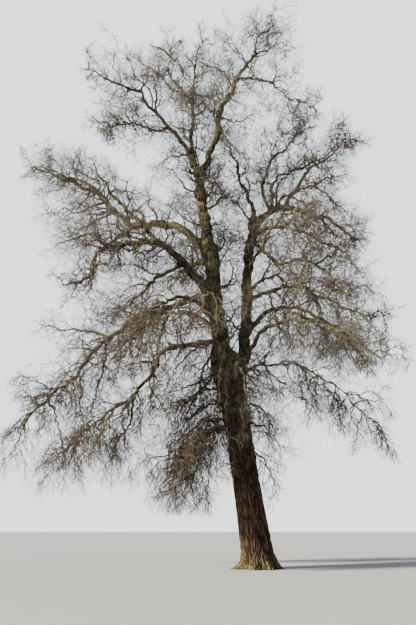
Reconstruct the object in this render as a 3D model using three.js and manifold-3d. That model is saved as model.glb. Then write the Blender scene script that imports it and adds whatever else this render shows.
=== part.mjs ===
// A bare winter oak, about 30 m tall: a leaning trunk that forks into two leaders,
// boughs that leave the leaders all round, and a mass of twigs at the end of each bough.
// Millimetres, +Z up, origin at the middle of the flat cut at ground level.
import * as THREE from "three";
import Module from "manifold-3d";
import { mergeVertices } from "three/addons/utils/BufferGeometryUtils.js";

const wasm = await Module();
wasm.setup();

// Headings are degrees seen from above: 0 east (+X), 90 north (+Y), 180 west, 270 south.
// Climbs are degrees above level, one for each equal stretch of a limb from foot to tip.
// A climb over 90 leans back over the foot. Thicknesses are diameters.
const LEAN = 7.5;
const LEAN_HEADING = 180;
const TRUNK_SIDES = 18;
const TRUNK_RINGS = [
  { height: 0, east_west: 1620, north_south: 1560 },
  { height: 160, east_west: 1420, north_south: 1400 },
  { height: 450, east_west: 1290, north_south: 1280 },
  { height: 1200, east_west: 1200, north_south: 1190 },
  { height: 2500, east_west: 1120, north_south: 1100 },
  { height: 4200, east_west: 1080, north_south: 1060 },
  { height: 5600, east_west: 1120, north_south: 1060 },
  { height: 6800, east_west: 1240, north_south: 1060 },
  { height: 7700, east_west: 1330, north_south: 1000 },
  { height: 8250, east_west: 1240, north_south: 900 },
  { height: 8500, east_west: 900, north_south: 640 },
];
const ROOTS = 7;
const ROOT_SWELL = 0.13;
const ROOT_HEIGHT = 700;
const ROOT_TURN = 0.8;

const LEADERS = [
  { name: "west_leader", from: "trunk", at: 0.94, heading: 205, length: 10250, foot: 780, tip: 430,
    climbs: [75, 80, 85, 85, 80, 80, 85] },
  { name: "east_leader", from: "trunk", at: 0.87, heading: 30, length: 9000, foot: 560, tip: 400,
    climbs: [60, 85, 85, 85, 85, 80] },
];

// solid is the share of the limb that is bough; the rest is the stem of its mass of twigs.
// reach is how far the twigs spread from that stem, and hang pulls them down.
const BOUGHS = [
  { name: "top_mid", from: "west_leader", at: 0.98, heading: 120, length: 9500, foot: 300,
    climbs: [60, 80, 95, 85, 95, 100, 110], solid: 0.66, reach: 2600, hang: -0.1 },
  { name: "top_east", from: "west_leader", at: 0.98, heading: 3, length: 12000, foot: 340,
    climbs: [70, 70, 85, 65, 70, 60, 80, 45], solid: 0.62, reach: 3000, hang: -0.1 },
  { name: "top_west", from: "top_mid", at: 0.14, heading: 205, length: 7750, foot: 260,
    climbs: [65, 50, 40, 35, 60, 0, 5, 10], solid: 0.36, reach: 2600, hang: -0.1 },
  { name: "top_west_spur", from: "top_west", at: 0.32, heading: 225, length: 4750, foot: 120,
    climbs: [-50, -20, -15, -35, -40, -40], solid: 0.2, reach: 2000, hang: 0 },
  { name: "top_mid_spur", from: "top_mid", at: 0.60, heading: 140, length: 7000, foot: 150,
    climbs: [60, 60, 60, 75, 100, 105], solid: 0.2, reach: 2400, hang: -0.1 },
  { name: "top_east_spur", from: "top_east", at: 0.57, heading: 345, length: 5250, foot: 140,
    climbs: [-15, -30, -50, -55, -30, -45], solid: 0.2, reach: 2400, hang: 0 },
  { name: "crown_north", from: "west_leader", at: 0.8, heading: 80, length: 7500, foot: 180,
    climbs: [50, 40, 55, 40, 50], solid: 0.25, reach: 3200, hang: -0.1 },
  { name: "east_tip", from: "east_leader", at: 0.98, heading: 125, length: 8000, foot: 240,
    climbs: [80, 65, 80, 70, 60], solid: 0.3, reach: 2600, hang: -0.1 },
  { name: "high_east", from: "east_leader", at: 0.97, heading: 20, length: 7250, foot: 380,
    climbs: [45, 35, 10, -20, 15, -35, -30], solid: 0.38, reach: 2800, hang: 0 },
  { name: "high_east_rise", from: "high_east", at: 0.2, heading: 40, length: 9500, foot: 190,
    climbs: [110, 70, 55, 50, 55, 45], solid: 0.25, reach: 2600, hang: -0.1 },
  { name: "high_east_out", from: "high_east", at: 0.34, heading: 340, length: 5500, foot: 220,
    climbs: [65, 55, 50, 20, 40, 60], solid: 0.25, reach: 2600, hang: 0 },
  { name: "mid_east", from: "east_leader", at: 0.88, heading: 335, length: 5500, foot: 220,
    climbs: [20, -10, -30, -40, -35, -35], solid: 0.3, reach: 2400, hang: 0 },
  { name: "lower_east", from: "east_leader", at: 0.84, heading: 325, length: 6750, foot: 200,
    climbs: [-45, -50, -5, -35, -55, -55], solid: 0.3, reach: 2600, hang: 0.1 },
  { name: "low_east", from: "east_leader", at: 0.48, heading: 350, length: 6700, foot: 210,
    climbs: [20, 15, -10, -35, -35, -25, -10], solid: 0.3, reach: 3000, hang: 0.1 },
  { name: "high_west", from: "west_leader", at: 0.51, heading: 160, length: 14750, foot: 450,
    climbs: [55, 35, 10, 45, 50, 35, 30, 30], solid: 0.35, reach: 3200, hang: 0 },
  { name: "mid_west", from: "west_leader", at: 0.33, heading: 205, length: 8750, foot: 420,
    climbs: [45, 40, 35, 0, -25, -30, -80, -35], solid: 0.3, reach: 2800, hang: 0 },
  { name: "west_drop", from: "mid_west", at: 0.25, heading: 160, length: 4500, foot: 200,
    climbs: [-25, -30, -40, -35, -25], solid: 0.25, reach: 2600, hang: 0.1 },
  { name: "long_low_west", from: "west_leader", at: 0.25, heading: 207, length: 10750, foot: 270,
    climbs: [35, -30, -30, -25, -50, -50, -60, -45, -50], solid: 0.3, reach: 2800, hang: 0.2 },
  { name: "low_west", from: "trunk", at: 0.97, heading: 178, length: 9750, foot: 280,
    climbs: [55, -5, -20, -70, -50, -30, -40, -45], solid: 0.4, reach: 3000, hang: 0.4 },
  { name: "north_high", from: "east_leader", at: 0.75, heading: 75, length: 8000, foot: 230,
    climbs: [50, 35, 30, 45, 30], solid: 0.25, reach: 3400, hang: 0 },
  { name: "north_mid", from: "west_leader", at: 0.45, heading: 105, length: 9000, foot: 260,
    climbs: [45, 30, 20, 30, 15, 0], solid: 0.25, reach: 3400, hang: 0 },
  { name: "north_low", from: "trunk", at: 0.9, heading: 80, length: 8500, foot: 270,
    climbs: [50, 20, 0, -15, -35, -40], solid: 0.3, reach: 3400, hang: 0.2 },
  { name: "north_west", from: "west_leader", at: 0.15, heading: 135, length: 9000, foot: 260,
    climbs: [45, 30, 15, -5, -25, -40], solid: 0.3, reach: 3400, hang: 0.1 },
  { name: "north_east", from: "east_leader", at: 0.3, heading: 35, length: 9750, foot: 260,
    climbs: [45, 25, 5, -10, -30, -40], solid: 0.3, reach: 3400, hang: 0.1 },
  { name: "south_mid", from: "east_leader", at: 0.6, heading: 295, length: 6500, foot: 170,
    climbs: [45, 30, 10, -15, -30], solid: 0.25, reach: 2800, hang: 0.1 },
  { name: "south_east", from: "east_leader", at: 0.15, heading: 322, length: 7500, foot: 220,
    climbs: [45, 10, -15, -35, -50], solid: 0.3, reach: 2800, hang: 0.3 },
  { name: "south_west", from: "west_leader", at: 0.12, heading: 240, length: 7500, foot: 240,
    climbs: [45, 15, -10, -30, -40, -50], solid: 0.3, reach: 2800, hang: 0.3 },
];

// Masses whose stem leaves the trunk or a leader itself.
const SHOOTS = [
  { name: "crown_south", from: "west_leader", at: 0.88, heading: 260, length: 5500, foot: 110,
    climbs: [65, 60, 55, 50], solid: 0, reach: 2800, hang: -0.1 },
  { name: "south_low", from: "trunk", at: 0.62, heading: 225, length: 5000, foot: 110,
    climbs: [20, -5, -35, -50, -60], solid: 0, reach: 2400, hang: 0.5 },
  { name: "east_low", from: "trunk", at: 0.85, heading: 352, length: 7500, foot: 130,
    climbs: [35, 0, -30, -45, -50], solid: 0, reach: 2800, hang: 0.4 },
];

const TIP_SHARE = 0.12; // a bough's tip against its foot
const GNARL = 0.09; // how far the middle of a stretch is knocked sideways, as a share of it
const BOUGH_SIDES = 8;
const LEADER_SIDES = 10;
const STEM_SIDES = 4;
const TWIG_SIDES = 3;
const GAP = 0.3; // between a bough's end and its mass's stem
const CUT_GAP = 0.35; // round a limb, where what it carries is cut to it
const NEAR_KNOT = 0.01; // a share of a run: knots nearer than this to a cut are left out
const NEAR_VERTICAL = 0.02;
const MERGED = 1e-3; // vertices nearer than this are one

// The rule of the twigs. Each order of twigs leaves the one before at even shares of its run,
// turned round it by the golden angle, shorter towards its tip.
const GOLDEN = 137.5;
const FORK = 52; // the angle at which a twig leaves its carrier
const KINK = 0.55; // the most that each stretch of a twig is turned, against its length
const TWIG_STRETCHES = 2;
const TWIG_SPACING = 950; // along a stem
const FIRST_TWIG = 0.08; // the share of a run before its first twig
const TWIG_LENGTH = 1.45; // at a stem's foot, against its mass's reach
const TWIG_SHORTENS = 0.86; // the share of that length that is gone at the stem's tip
const SIDE_TWIGS = 6; // to a twig; the solid masses keep only SIDE_TWIGS_KEPT of them, drawn straight
const SIDE_TWIGS_KEPT = [0, 2, 4];
const SIDE_LENGTH = 0.62; // against the twig that carries it
const SIDE_SHORTENS = 0.6;
const FITTED_LENGTHS = [1, 0.7, 0.45]; // shares of its length that a twig is tried at
const TWIG_THICKNESS = { share: 0.55, least: 45 }; // a twig's root against what carries it
const SIDE_THICKNESS = { share: 0.3, least: 6 };
const SPACE_MARGIN = 0.05; // between the spaces of two masses, against their reaches
const LIMB_CLEARANCE = 90;
const LOWEST_TWIG = 1800;

const BARK = new THREE.MeshStandardMaterial({ color: 0x5d4a3d, roughness: 0.95, metalness: 0 });
const ALGAE_BARK = new THREE.MeshStandardMaterial({ color: 0x6f6a48, roughness: 0.95, metalness: 0 });
const TWIG_BARK = new THREE.MeshStandardMaterial({ color: 0x6d5c4e, roughness: 0.9, metalness: 0 });

const UP = new THREE.Vector3(0, 0, 1);

// An even draw from 0 to 1 that depends on its number alone.
function chance(number) {
  const wave = Math.sin(number * 12.9898 + 4.1) * 43758.5453;
  return wave - Math.floor(wave);
}

function direction(heading, climb) {
  const turn = THREE.MathUtils.degToRad(heading);
  const rise = THREE.MathUtils.degToRad(climb);
  return new THREE.Vector3(
    Math.cos(rise) * Math.cos(turn),
    Math.cos(rise) * Math.sin(turn),
    Math.sin(rise),
  );
}

// The two directions across a run: one level, one square to both.
function across(run) {
  const level = new THREE.Vector3().crossVectors(run, UP);
  if (level.length() < NEAR_VERTICAL) level.set(1, 0, 0);
  level.normalize();
  return [level, new THREE.Vector3().crossVectors(level, run).normalize()];
}

// The knots of a limb: one at the end of each stretch and one, knocked sideways, in its middle.
function limbKnots(limb, foot, seed) {
  const stretch = limb.length / limb.climbs.length;
  const knots = [foot.clone()];
  limb.climbs.forEach((climb, i) => {
    const start = knots[knots.length - 1];
    const run = direction(limb.heading, climb);
    const [level, square] = across(run);
    const middle = start.clone().addScaledVector(run, stretch / 2);
    middle.addScaledVector(level, GNARL * stretch * (2 * chance(seed * 97 + 2 * i) - 1));
    middle.addScaledVector(square, GNARL * stretch * (2 * chance(seed * 97 + 2 * i + 1) - 1));
    knots.push(middle, start.clone().addScaledVector(run, stretch));
  });
  return knots;
}

function reachOf(knots) {
  const shares = [0];
  for (let i = 1; i < knots.length; i++) {
    shares.push(shares[i - 1] + knots[i].distanceTo(knots[i - 1]));
  }
  const whole = shares[shares.length - 1];
  return shares.map((length) => length / whole);
}

function placeAt(knots, share) {
  const shares = reachOf(knots);
  let i = 1;
  while (i < knots.length - 1 && shares[i] < share) i++;
  const part = (share - shares[i - 1]) / (shares[i] - shares[i - 1]);
  return knots[i - 1].clone().lerp(knots[i], part);
}

function runAt(knots, share) {
  const shares = reachOf(knots);
  let i = 1;
  while (i < knots.length - 1 && shares[i] < share) i++;
  return knots[i].clone().sub(knots[i - 1]).normalize();
}

// The knots between two shares of a run, with their shares of the whole.
function stretchOf(knots, from, to) {
  const shares = reachOf(knots);
  const kept = [{ knot: placeAt(knots, from), share: from }];
  knots.forEach((knot, i) => {
    const inside = shares[i] > from + NEAR_KNOT && shares[i] < to - NEAR_KNOT;
    if (inside) kept.push({ knot, share: shares[i] });
  });
  kept.push({ knot: placeAt(knots, to), share: to });
  return kept;
}

function middleOf(ring) {
  const sum = ring.reduce((total, point) => total.add(point), new THREE.Vector3());
  return sum.divideScalar(ring.length);
}

// A closed skin over rings of points with the same count, flat at both ends unless it has a tip.
function skin(rings, tip = middleOf(rings[rings.length - 1])) {
  const sides = rings[0].length;
  const top = (rings.length - 1) * sides;
  const foot = top + sides; // the place of the first ring's middle in points, with the tip after it
  const points = [...rings.flat(), middleOf(rings[0]), tip];
  const places = points.flatMap((p) => [p.x, p.y, p.z]);
  const faces = [];
  for (let s = 0; s < sides; s++) {
    const next = (s + 1) % sides;
    for (let a = 0; a < top; a += sides) {
      faces.push(a + s, a + next, a + next + sides, a + s, a + next + sides, a + s + sides);
    }
    faces.push(foot, next, s);
    faces.push(foot + 1, top + s, top + next);
  }
  const geometry = new THREE.BufferGeometry();
  geometry.setAttribute("position", new THREE.Float32BufferAttribute(places, 3));
  geometry.setIndex(faces);
  return geometry;
}

function ring(centre, normal, start, radius, sides) {
  const side = new THREE.Vector3().crossVectors(normal, start);
  return Array.from({ length: sides }, (_, s) => {
    const angle = (2 * Math.PI * s) / sides;
    return centre
      .clone()
      .addScaledVector(start, radius * Math.cos(angle))
      .addScaledVector(side, radius * Math.sin(angle));
  });
}

// The rings of a limb through knots. Each is square to its run, halfway at a bend.
function ringsOn(knots, radii, sides) {
  const runs = knots.slice(1).map((knot, i) => knot.clone().sub(knots[i]).normalize());
  let start = across(runs[0])[0];
  return knots.map((knot, i) => {
    const before = runs[Math.max(i - 1, 0)];
    const after = runs[Math.min(i, runs.length - 1)];
    const normal = before.clone().add(after).normalize();
    start = start.clone().addScaledVector(normal, -start.dot(normal)).normalize();
    return ring(knot, normal, start, radii[i], sides);
  });
}

function solidOf(geometry) {
  const bare = geometry.clone();
  bare.deleteAttribute("normal");
  bare.deleteAttribute("uv");
  const merged = mergeVertices(bare, MERGED);
  return new wasm.Manifold(
    new wasm.Mesh({
      numProp: 3,
      vertProperties: new Float32Array(merged.attributes.position.array),
      triVerts: new Uint32Array(merged.index.array),
    }),
  );
}

function geometryOf(solid) {
  const mesh = solid.getMesh();
  const places = [];
  for (let i = 0; i < mesh.numVert; i++) {
    places.push(...mesh.vertProperties.subarray(i * mesh.numProp, i * mesh.numProp + 3));
  }
  const geometry = new THREE.BufferGeometry();
  geometry.setAttribute("position", new THREE.Float32BufferAttribute(places, 3));
  geometry.setIndex(Array.from(mesh.triVerts));
  geometry.computeVertexNormals();
  return geometry;
}

function largestBody(solid) {
  return solid.decompose().sort((a, b) => b.volume() - a.volume())[0];
}

// The trunk's middle at a height, on its lean.
function trunkMiddle(height) {
  const lean = height * Math.tan(THREE.MathUtils.degToRad(LEAN));
  return direction(LEAN_HEADING, 0).multiplyScalar(lean).setZ(height);
}

// The trunk: level rings up its lean, swollen into roots that spread at the ground.
function trunkSkin(extra) {
  const rings = TRUNK_RINGS.map(({ height, east_west, north_south }) => {
    const middle = trunkMiddle(height);
    const swell = ROOT_SWELL * Math.max(0, 1 - height / ROOT_HEIGHT);
    return Array.from({ length: TRUNK_SIDES }, (_, s) => {
      const angle = (2 * Math.PI * s) / TRUNK_SIDES;
      const root = 1 + swell * Math.cos(ROOTS * angle + ROOT_TURN);
      const wide = (east_west / 2) * root + extra;
      const deep = (north_south / 2) * root + extra;
      return middle.clone().add(new THREE.Vector3(wide * Math.cos(angle), deep * Math.sin(angle), 0));
    });
  });
  if (extra) rings.push(rings[rings.length - 1].map((p) => p.clone().setZ(p.z + extra)));
  return skin(rings);
}

function thicknessAt(limb, share) {
  const tip = limb.tip ?? limb.foot * TIP_SHARE;
  return limb.foot + (tip - limb.foot) * share;
}

// The share of a limb where its bough ends and its mass begins, halfway between two knots
// so that the flat end and the stem's foot face each other squarely.
function boughEnd(limb) {
  if (limb.tip) return 1;
  const halves = 2 * limb.climbs.length;
  return limb.solid ? (Math.floor(limb.solid * halves) + 0.5) / halves : 0;
}

// A limb's solid: its run up to where its mass begins. With extra, a skin round it that cuts others.
function limbSkin(limb, extra) {
  const kept = stretchOf(limb.knots, 0, limb.end);
  const knots = kept.map(({ knot }) => knot.clone());
  if (extra) {
    const end = knots[knots.length - 1];
    end.addScaledVector(end.clone().sub(knots[knots.length - 2]).normalize(), extra);
  }
  const radii = kept.map(({ share }) => thicknessAt(limb, share) / 2 + extra);
  return skin(ringsOn(knots, radii, limb.sides));
}

// A limb cut to what it grows from and to the limbs made before it.
function cutToOthers(solid, others) {
  return largestBody(others.reduce((left, other) => left.subtract(other), solid));
}

function nearestOn(place, knots) {
  let least = Infinity;
  const nearest = new THREE.Vector3();
  for (let i = 1; i < knots.length; i++) {
    new THREE.Line3(knots[i - 1], knots[i]).closestPointToPoint(place, true, nearest);
    least = Math.min(least, nearest.distanceTo(place));
  }
  return least;
}

// True where a place is the mass's own: within its reach, relatively nearer to its stem
// than to any other, clear of every limb and above head height.
function inOwnSpace(place, mass) {
  const near = nearestOn(place, mass.stem) / mass.reach;
  if (near > 1 || place.z < LOWEST_TWIG) return false;
  for (const other of masses) {
    if (other === mass) continue;
    if (nearestOn(place, other.stem) / other.reach < near + SPACE_MARGIN) return false;
  }
  return axes.every(({ axis, widest }) => nearestOn(place, axis) > widest / 2 + LIMB_CLEARANCE);
}

// One twig: it leaves its carrier at a fork, and each stretch turns by chance and to the light,
// or down where the mass hangs.
function twigKnots(carrier, share, roll, length, hang, key) {
  const run = runAt(carrier, share);
  const [level, square] = across(run);
  const fork = THREE.MathUtils.degToRad(FORK * (0.8 + 0.4 * chance(key + 0.1)));
  const turn = THREE.MathUtils.degToRad(roll);
  const out = run
    .clone()
    .multiplyScalar(Math.cos(fork))
    .addScaledVector(level, Math.sin(fork) * Math.cos(turn))
    .addScaledVector(square, Math.sin(fork) * Math.sin(turn));
  const knots = [placeAt(carrier, share)];
  for (let i = 0; i < TWIG_STRETCHES; i++) {
    const [x, y, z] = [0.2, 0.3, 0.4].map((draw) => KINK * (2 * chance(key + draw + i) - 1));
    out.add(new THREE.Vector3(x, y, z - hang)).normalize();
    knots.push(knots[i].clone().addScaledVector(out, length / TWIG_STRETCHES));
  }
  return knots;
}

function fits(knots, mass) {
  return knots.slice(1).every((knot, i) => {
    const middle = knots[i].clone().lerp(knot, 0.5);
    return inOwnSpace(middle, mass) && inOwnSpace(knot, mass);
  });
}

// The twigs numbered in kept, out of the count that leave one carrier. Each has the longest
// fitted length that stays in its mass's space, and one that has none is skipped.
function twigsOn(carrier, order, mass) {
  const { count, kept, length, shortens, root, thickness, key } = order;
  const twigs = [];
  for (const j of kept) {
    const own = key * 31 + j + 1;
    const share = FIRST_TWIG + ((1 - FIRST_TWIG) * (j + 0.8 * chance(own + 0.5))) / count;
    const roll = GOLDEN * j + 360 * chance(key + 0.6);
    const whole = length * (1 - shortens * share) * (0.75 + 0.5 * chance(own + 0.7));
    const thick = Math.max(thickness.share * root(share), thickness.least);
    for (const long of FITTED_LENGTHS.map((part) => part * whole)) {
      const knots = twigKnots(carrier, share, roll, long, mass.limb.hang, own);
      if (!fits(knots, mass)) continue;
      twigs.push({ knots, thick, long, key: own });
      break;
    }
  }
  return twigs;
}

// A twig's skin runs to a point at its last knot.
function twigSolid(knots, thick) {
  const last = knots.length - 1;
  const radii = knots.map((_, i) => (thick / 2) * (1 - i / last));
  return solidOf(skin(ringsOn(knots, radii, TWIG_SIDES).slice(0, last), knots[last]));
}

// The first order of twigs, all of those on a mass's stem.
function firstOrder({ limb, reach, key }) {
  const count = Math.round((limb.length * (1 - limb.end)) / TWIG_SPACING);
  return {
    count,
    kept: Array.from({ length: count }, (_, j) => j),
    length: TWIG_LENGTH * reach,
    shortens: TWIG_SHORTENS,
    root: (share) => thicknessAt(limb, limb.end + (1 - limb.end) * share),
    thickness: TWIG_THICKNESS,
    key,
  };
}

// The second order, some of those on one twig.
function sideOrder(twig) {
  return {
    count: SIDE_TWIGS,
    kept: SIDE_TWIGS_KEPT,
    length: SIDE_LENGTH * twig.long,
    shortens: SIDE_SHORTENS,
    root: (share) => twig.thick * (1 - share),
    thickness: SIDE_THICKNESS,
    key: twig.key,
  };
}

// A mass of twigs: its stem, the twigs on it and some side twigs on those, fused.
function massSolid(mass) {
  const order = firstOrder(mass);
  const radii = reachOf(mass.stem).map((share) => order.root(share) / 2);
  const parts = [solidOf(skin(ringsOn(mass.stem, radii, STEM_SIDES)))];
  for (const twig of twigsOn(mass.stem, order, mass)) {
    parts.push(twigSolid(twig.knots, twig.thick));
    for (const { knots, thick } of twigsOn(twig.knots, sideOrder(twig), mass)) {
      parts.push(twigSolid([knots[0], knots[knots.length - 1]], thick));
    }
  }
  return wasm.Manifold.union(parts);
}

// The limbs, each from its place on the limb that carries it.
const trunk = {
  name: "trunk",
  knots: TRUNK_RINGS.map(({ height }) => trunkMiddle(height)),
  skin: trunkSkin,
};
const limbs = new Map([["trunk", trunk]]);
const leaders = LEADERS.map((leader) => ({ ...leader, sides: LEADER_SIDES }));
const boughs = BOUGHS.map((bough) => ({ ...bough, sides: BOUGH_SIDES }));
const shoots = SHOOTS.map((shoot) => ({ ...shoot, sides: STEM_SIDES }));
[...leaders, ...boughs, ...shoots].forEach((limb, i) => {
  limb.knots = limbKnots(limb, placeAt(limbs.get(limb.from).knots, limb.at), i + 1);
  limb.end = boughEnd(limb);
  limb.skin = (extra) => limbSkin(limb, extra);
  limbs.set(limb.name, limb);
});

// The middle lines that twigs stay clear of.
const axes = [...leaders, ...boughs].map((limb) => ({
  axis: stretchOf(limb.knots, 0, limb.end).map(({ knot }) => knot),
  widest: thicknessAt(limb, limb.end / 3),
}));
axes.push({ axis: trunk.knots, widest: TRUNK_RINGS[3].east_west });

// A mass's stem goes on from its bough's end, or out of the trunk or leader that carries it.
const masses = [...boughs, ...shoots].map((limb, i) => {
  const stem = stretchOf(limb.knots, limb.end, 1).map(({ knot }) => knot.clone());
  if (limb.end) stem[0].addScaledVector(runAt(stem, 0), GAP);
  return { limb, stem, reach: limb.reach, key: i + 1 };
});

const tree = new THREE.Group();
function addNode(name, solid, material) {
  const mesh = new THREE.Mesh(geometryOf(solid), material);
  mesh.name = name;
  tree.add(mesh);
}

addNode("trunk", solidOf(trunk.skin(0)), BARK);
const cutters = [solidOf(trunk.skin(CUT_GAP))];
for (const limb of [...leaders, ...boughs]) {
  addNode(limb.name, cutToOthers(solidOf(limb.skin(0)), cutters), limb.tip ? BARK : ALGAE_BARK);
  cutters.push(solidOf(limb.skin(CUT_GAP)));
}
for (const mass of masses) {
  const solid = massSolid(mass);
  const clear = mass.limb.end ? solid : cutToOthers(solid, cutters);
  addNode(mass.limb.name + "_twigs", clear, TWIG_BARK);
}

export default tree;
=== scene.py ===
import math

import bpy
import numpy as np
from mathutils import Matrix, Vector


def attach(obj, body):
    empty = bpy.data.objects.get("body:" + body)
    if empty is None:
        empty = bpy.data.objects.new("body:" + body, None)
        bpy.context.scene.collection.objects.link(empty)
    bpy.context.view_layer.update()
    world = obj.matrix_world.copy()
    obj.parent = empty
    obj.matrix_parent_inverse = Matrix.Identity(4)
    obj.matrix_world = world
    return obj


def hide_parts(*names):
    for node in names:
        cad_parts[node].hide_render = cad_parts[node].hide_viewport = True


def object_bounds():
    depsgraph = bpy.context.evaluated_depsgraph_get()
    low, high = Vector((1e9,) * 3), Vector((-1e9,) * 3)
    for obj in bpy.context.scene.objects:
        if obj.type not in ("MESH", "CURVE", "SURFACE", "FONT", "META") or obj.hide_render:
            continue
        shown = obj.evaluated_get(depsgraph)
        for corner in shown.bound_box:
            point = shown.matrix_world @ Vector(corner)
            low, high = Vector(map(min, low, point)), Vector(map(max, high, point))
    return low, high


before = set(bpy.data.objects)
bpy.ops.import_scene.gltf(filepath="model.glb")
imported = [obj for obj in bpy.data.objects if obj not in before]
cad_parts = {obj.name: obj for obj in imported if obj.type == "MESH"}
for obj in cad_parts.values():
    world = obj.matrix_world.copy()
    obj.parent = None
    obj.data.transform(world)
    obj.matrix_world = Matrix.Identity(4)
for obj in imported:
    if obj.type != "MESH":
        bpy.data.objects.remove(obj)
cad_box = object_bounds()

# The lines of the limbs. A winter oak forks at about 8 m into two leaders, and boughs leave the
# trunk and the leaders all round. A limb is a run of equal stretches that climb or droop, with the
# middle of each knocked sideways, as growth does. Metres and degrees, 0 east (+X), 90 north (+Y).
TRUNK_TOP = 8.5
LEAN = math.radians(7.5)
TIP_SHARE = 0.2
GNARL = 0.09
WRIGGLES = [(0.03, 0.63), (0.018, 1.37), (0.008, 2.9)]  # how far, and how often to a stretch's half
WAVER, WAVER_RATE = 0.3, 1.7  # of the wriggles' own rhythm
ANY_PHASE = 6.28  # a whole turn, near enough
NEAR_VERTICAL = 0.02
LIMB_KEYS = 97  # keeps the draws of two limbs apart
CHANCE_RATE, CHANCE_START, CHANCE_SCALE = 12.9898, 4.1, 43758.5453
NOTHING = 1e-12  # a length too small to matter


def chance(number):
    """Even draws from 0 to 1 that depend on their numbers alone. Each kind of draw on a limb or a
    twig adds its own fraction to the key."""
    wave = np.sin(np.asarray(number, float) * CHANCE_RATE + CHANCE_START) * CHANCE_SCALE
    return wave - np.floor(wave)


def unit(vectors):
    return vectors / np.maximum(np.linalg.norm(vectors, axis=-1, keepdims=True), NOTHING)


def across(run):
    """The two directions across each run: one level, one square to both."""
    level = np.stack([run[..., 1], -run[..., 0], np.zeros(run.shape[:-1])], -1)
    upright = np.linalg.norm(level, axis=-1, keepdims=True) < NEAR_VERTICAL
    level = unit(np.where(upright, (1.0, 0.0, 0.0), level))
    return level, unit(np.cross(level, run))


def on_curves(knots, x):
    """Places on N smooth curves through their knots. x counts knots from the foot of each."""
    before = 2 * knots[:, :1] - knots[:, 1:2]
    after = 2 * knots[:, -1:] - knots[:, -2:-1]
    knots = np.concatenate([before, knots, after], 1)
    i = np.clip(np.floor(x).astype(int), 0, knots.shape[1] - 4)
    t = (x - i)[..., None]
    rows = np.arange(len(knots))[:, None]
    a, b, c, d = (knots[rows, i + n] for n in range(4))
    bend = (2 * a - 5 * b + 4 * c - d) * t**2 + (3 * b - a - 3 * c + d) * t**3
    return b + 0.5 * ((c - a) * t + bend)


def shares_of(knots):
    lengths = np.linalg.norm(np.diff(knots, axis=0), axis=1)
    reach = np.concatenate([[0.0], np.cumsum(lengths)])
    return reach / reach[-1]


def direction(heading, climb):
    turn, rise = math.radians(heading), math.radians(climb)
    return np.array([math.cos(rise) * math.cos(turn), math.cos(rise) * math.sin(turn), math.sin(rise)])


class Limb:
    """One limb: solid is the share of it that is bough, and the rest is the stem of its twigs. A
    limb whose own tip is given is a leader, and is solid to its end."""

    grown = {}

    def __init__(self, name, carrier, at, heading, length, foot, climbs,
                 reach=0.0, hang=0.0, solid=0.0, tip=None):
        self.name, self.carrier, self.length, self.foot = name, carrier, length, foot
        self.reach, self.hang = reach, hang
        self.tip = foot * TIP_SHARE if tip is None else tip
        self.seed = len(Limb.grown) + 1
        halves = 2 * len(climbs)
        self.end = (math.floor(solid * halves) + 0.5) / halves if solid else 0.0
        if tip is not None:
            self.end = 1.0
        root = Limb.grown[carrier].place(at) if carrier in Limb.grown else trunk_middle(at)
        self.knots = self.grow(root, heading, climbs)
        self.shares = shares_of(self.knots)
        Limb.grown[name] = self

    def grow(self, foot, heading, climbs):
        stretch = self.length / len(climbs)
        knots = [foot]
        for i, climb in enumerate(climbs):
            run = direction(heading, climb)
            level, square = across(run)
            knock = GNARL * stretch * (2 * chance(self.seed * LIMB_KEYS + 2 * i + np.arange(2)) - 1)
            knots.append(knots[-1] + run * stretch / 2 + level * knock[0] + square * knock[1])
            knots.append(knots[-2] + run * stretch)
        return np.array(knots)

    def place(self, share):
        """A place on the straight stretches, where the source puts what the limb carries."""
        return np.stack([np.interp(share, self.shares, self.knots[:, k]) for k in range(3)], -1)

    def run(self, share):
        i = np.clip(np.searchsorted(self.shares, share, side="left"), 1, len(self.knots) - 1)
        return unit(self.knots[i] - self.knots[i - 1])

    def drawn(self, share):
        """The same place on the living limb, smooth through its knots and never quite straight."""
        x = np.interp(share, self.shares, np.arange(len(self.knots)))
        places = on_curves(self.knots[None], x[None])[0]
        level, square = across(self.run(share))
        ease = np.clip(x / 2, 0, 1)[:, None]
        for size, waves in WRIGGLES:
            turn = 2 * math.pi * (waves * x + WAVER * np.sin(WAVER_RATE * x + self.seed))
            sway = np.sin(turn + ANY_PHASE * chance(self.seed + waves))[:, None]
            nod = np.sin(turn + ANY_PHASE * chance(self.seed - waves))[:, None]
            places = places + size * ease * (sway * level + nod * square)
        return places

    def thickness(self, share):
        return self.foot + (self.tip - self.foot) * share


def trunk_middle(share):
    height = np.asarray(share, float) * TRUNK_TOP
    return np.stack([-height * math.tan(LEAN), 0 * height, height], -1)


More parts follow.
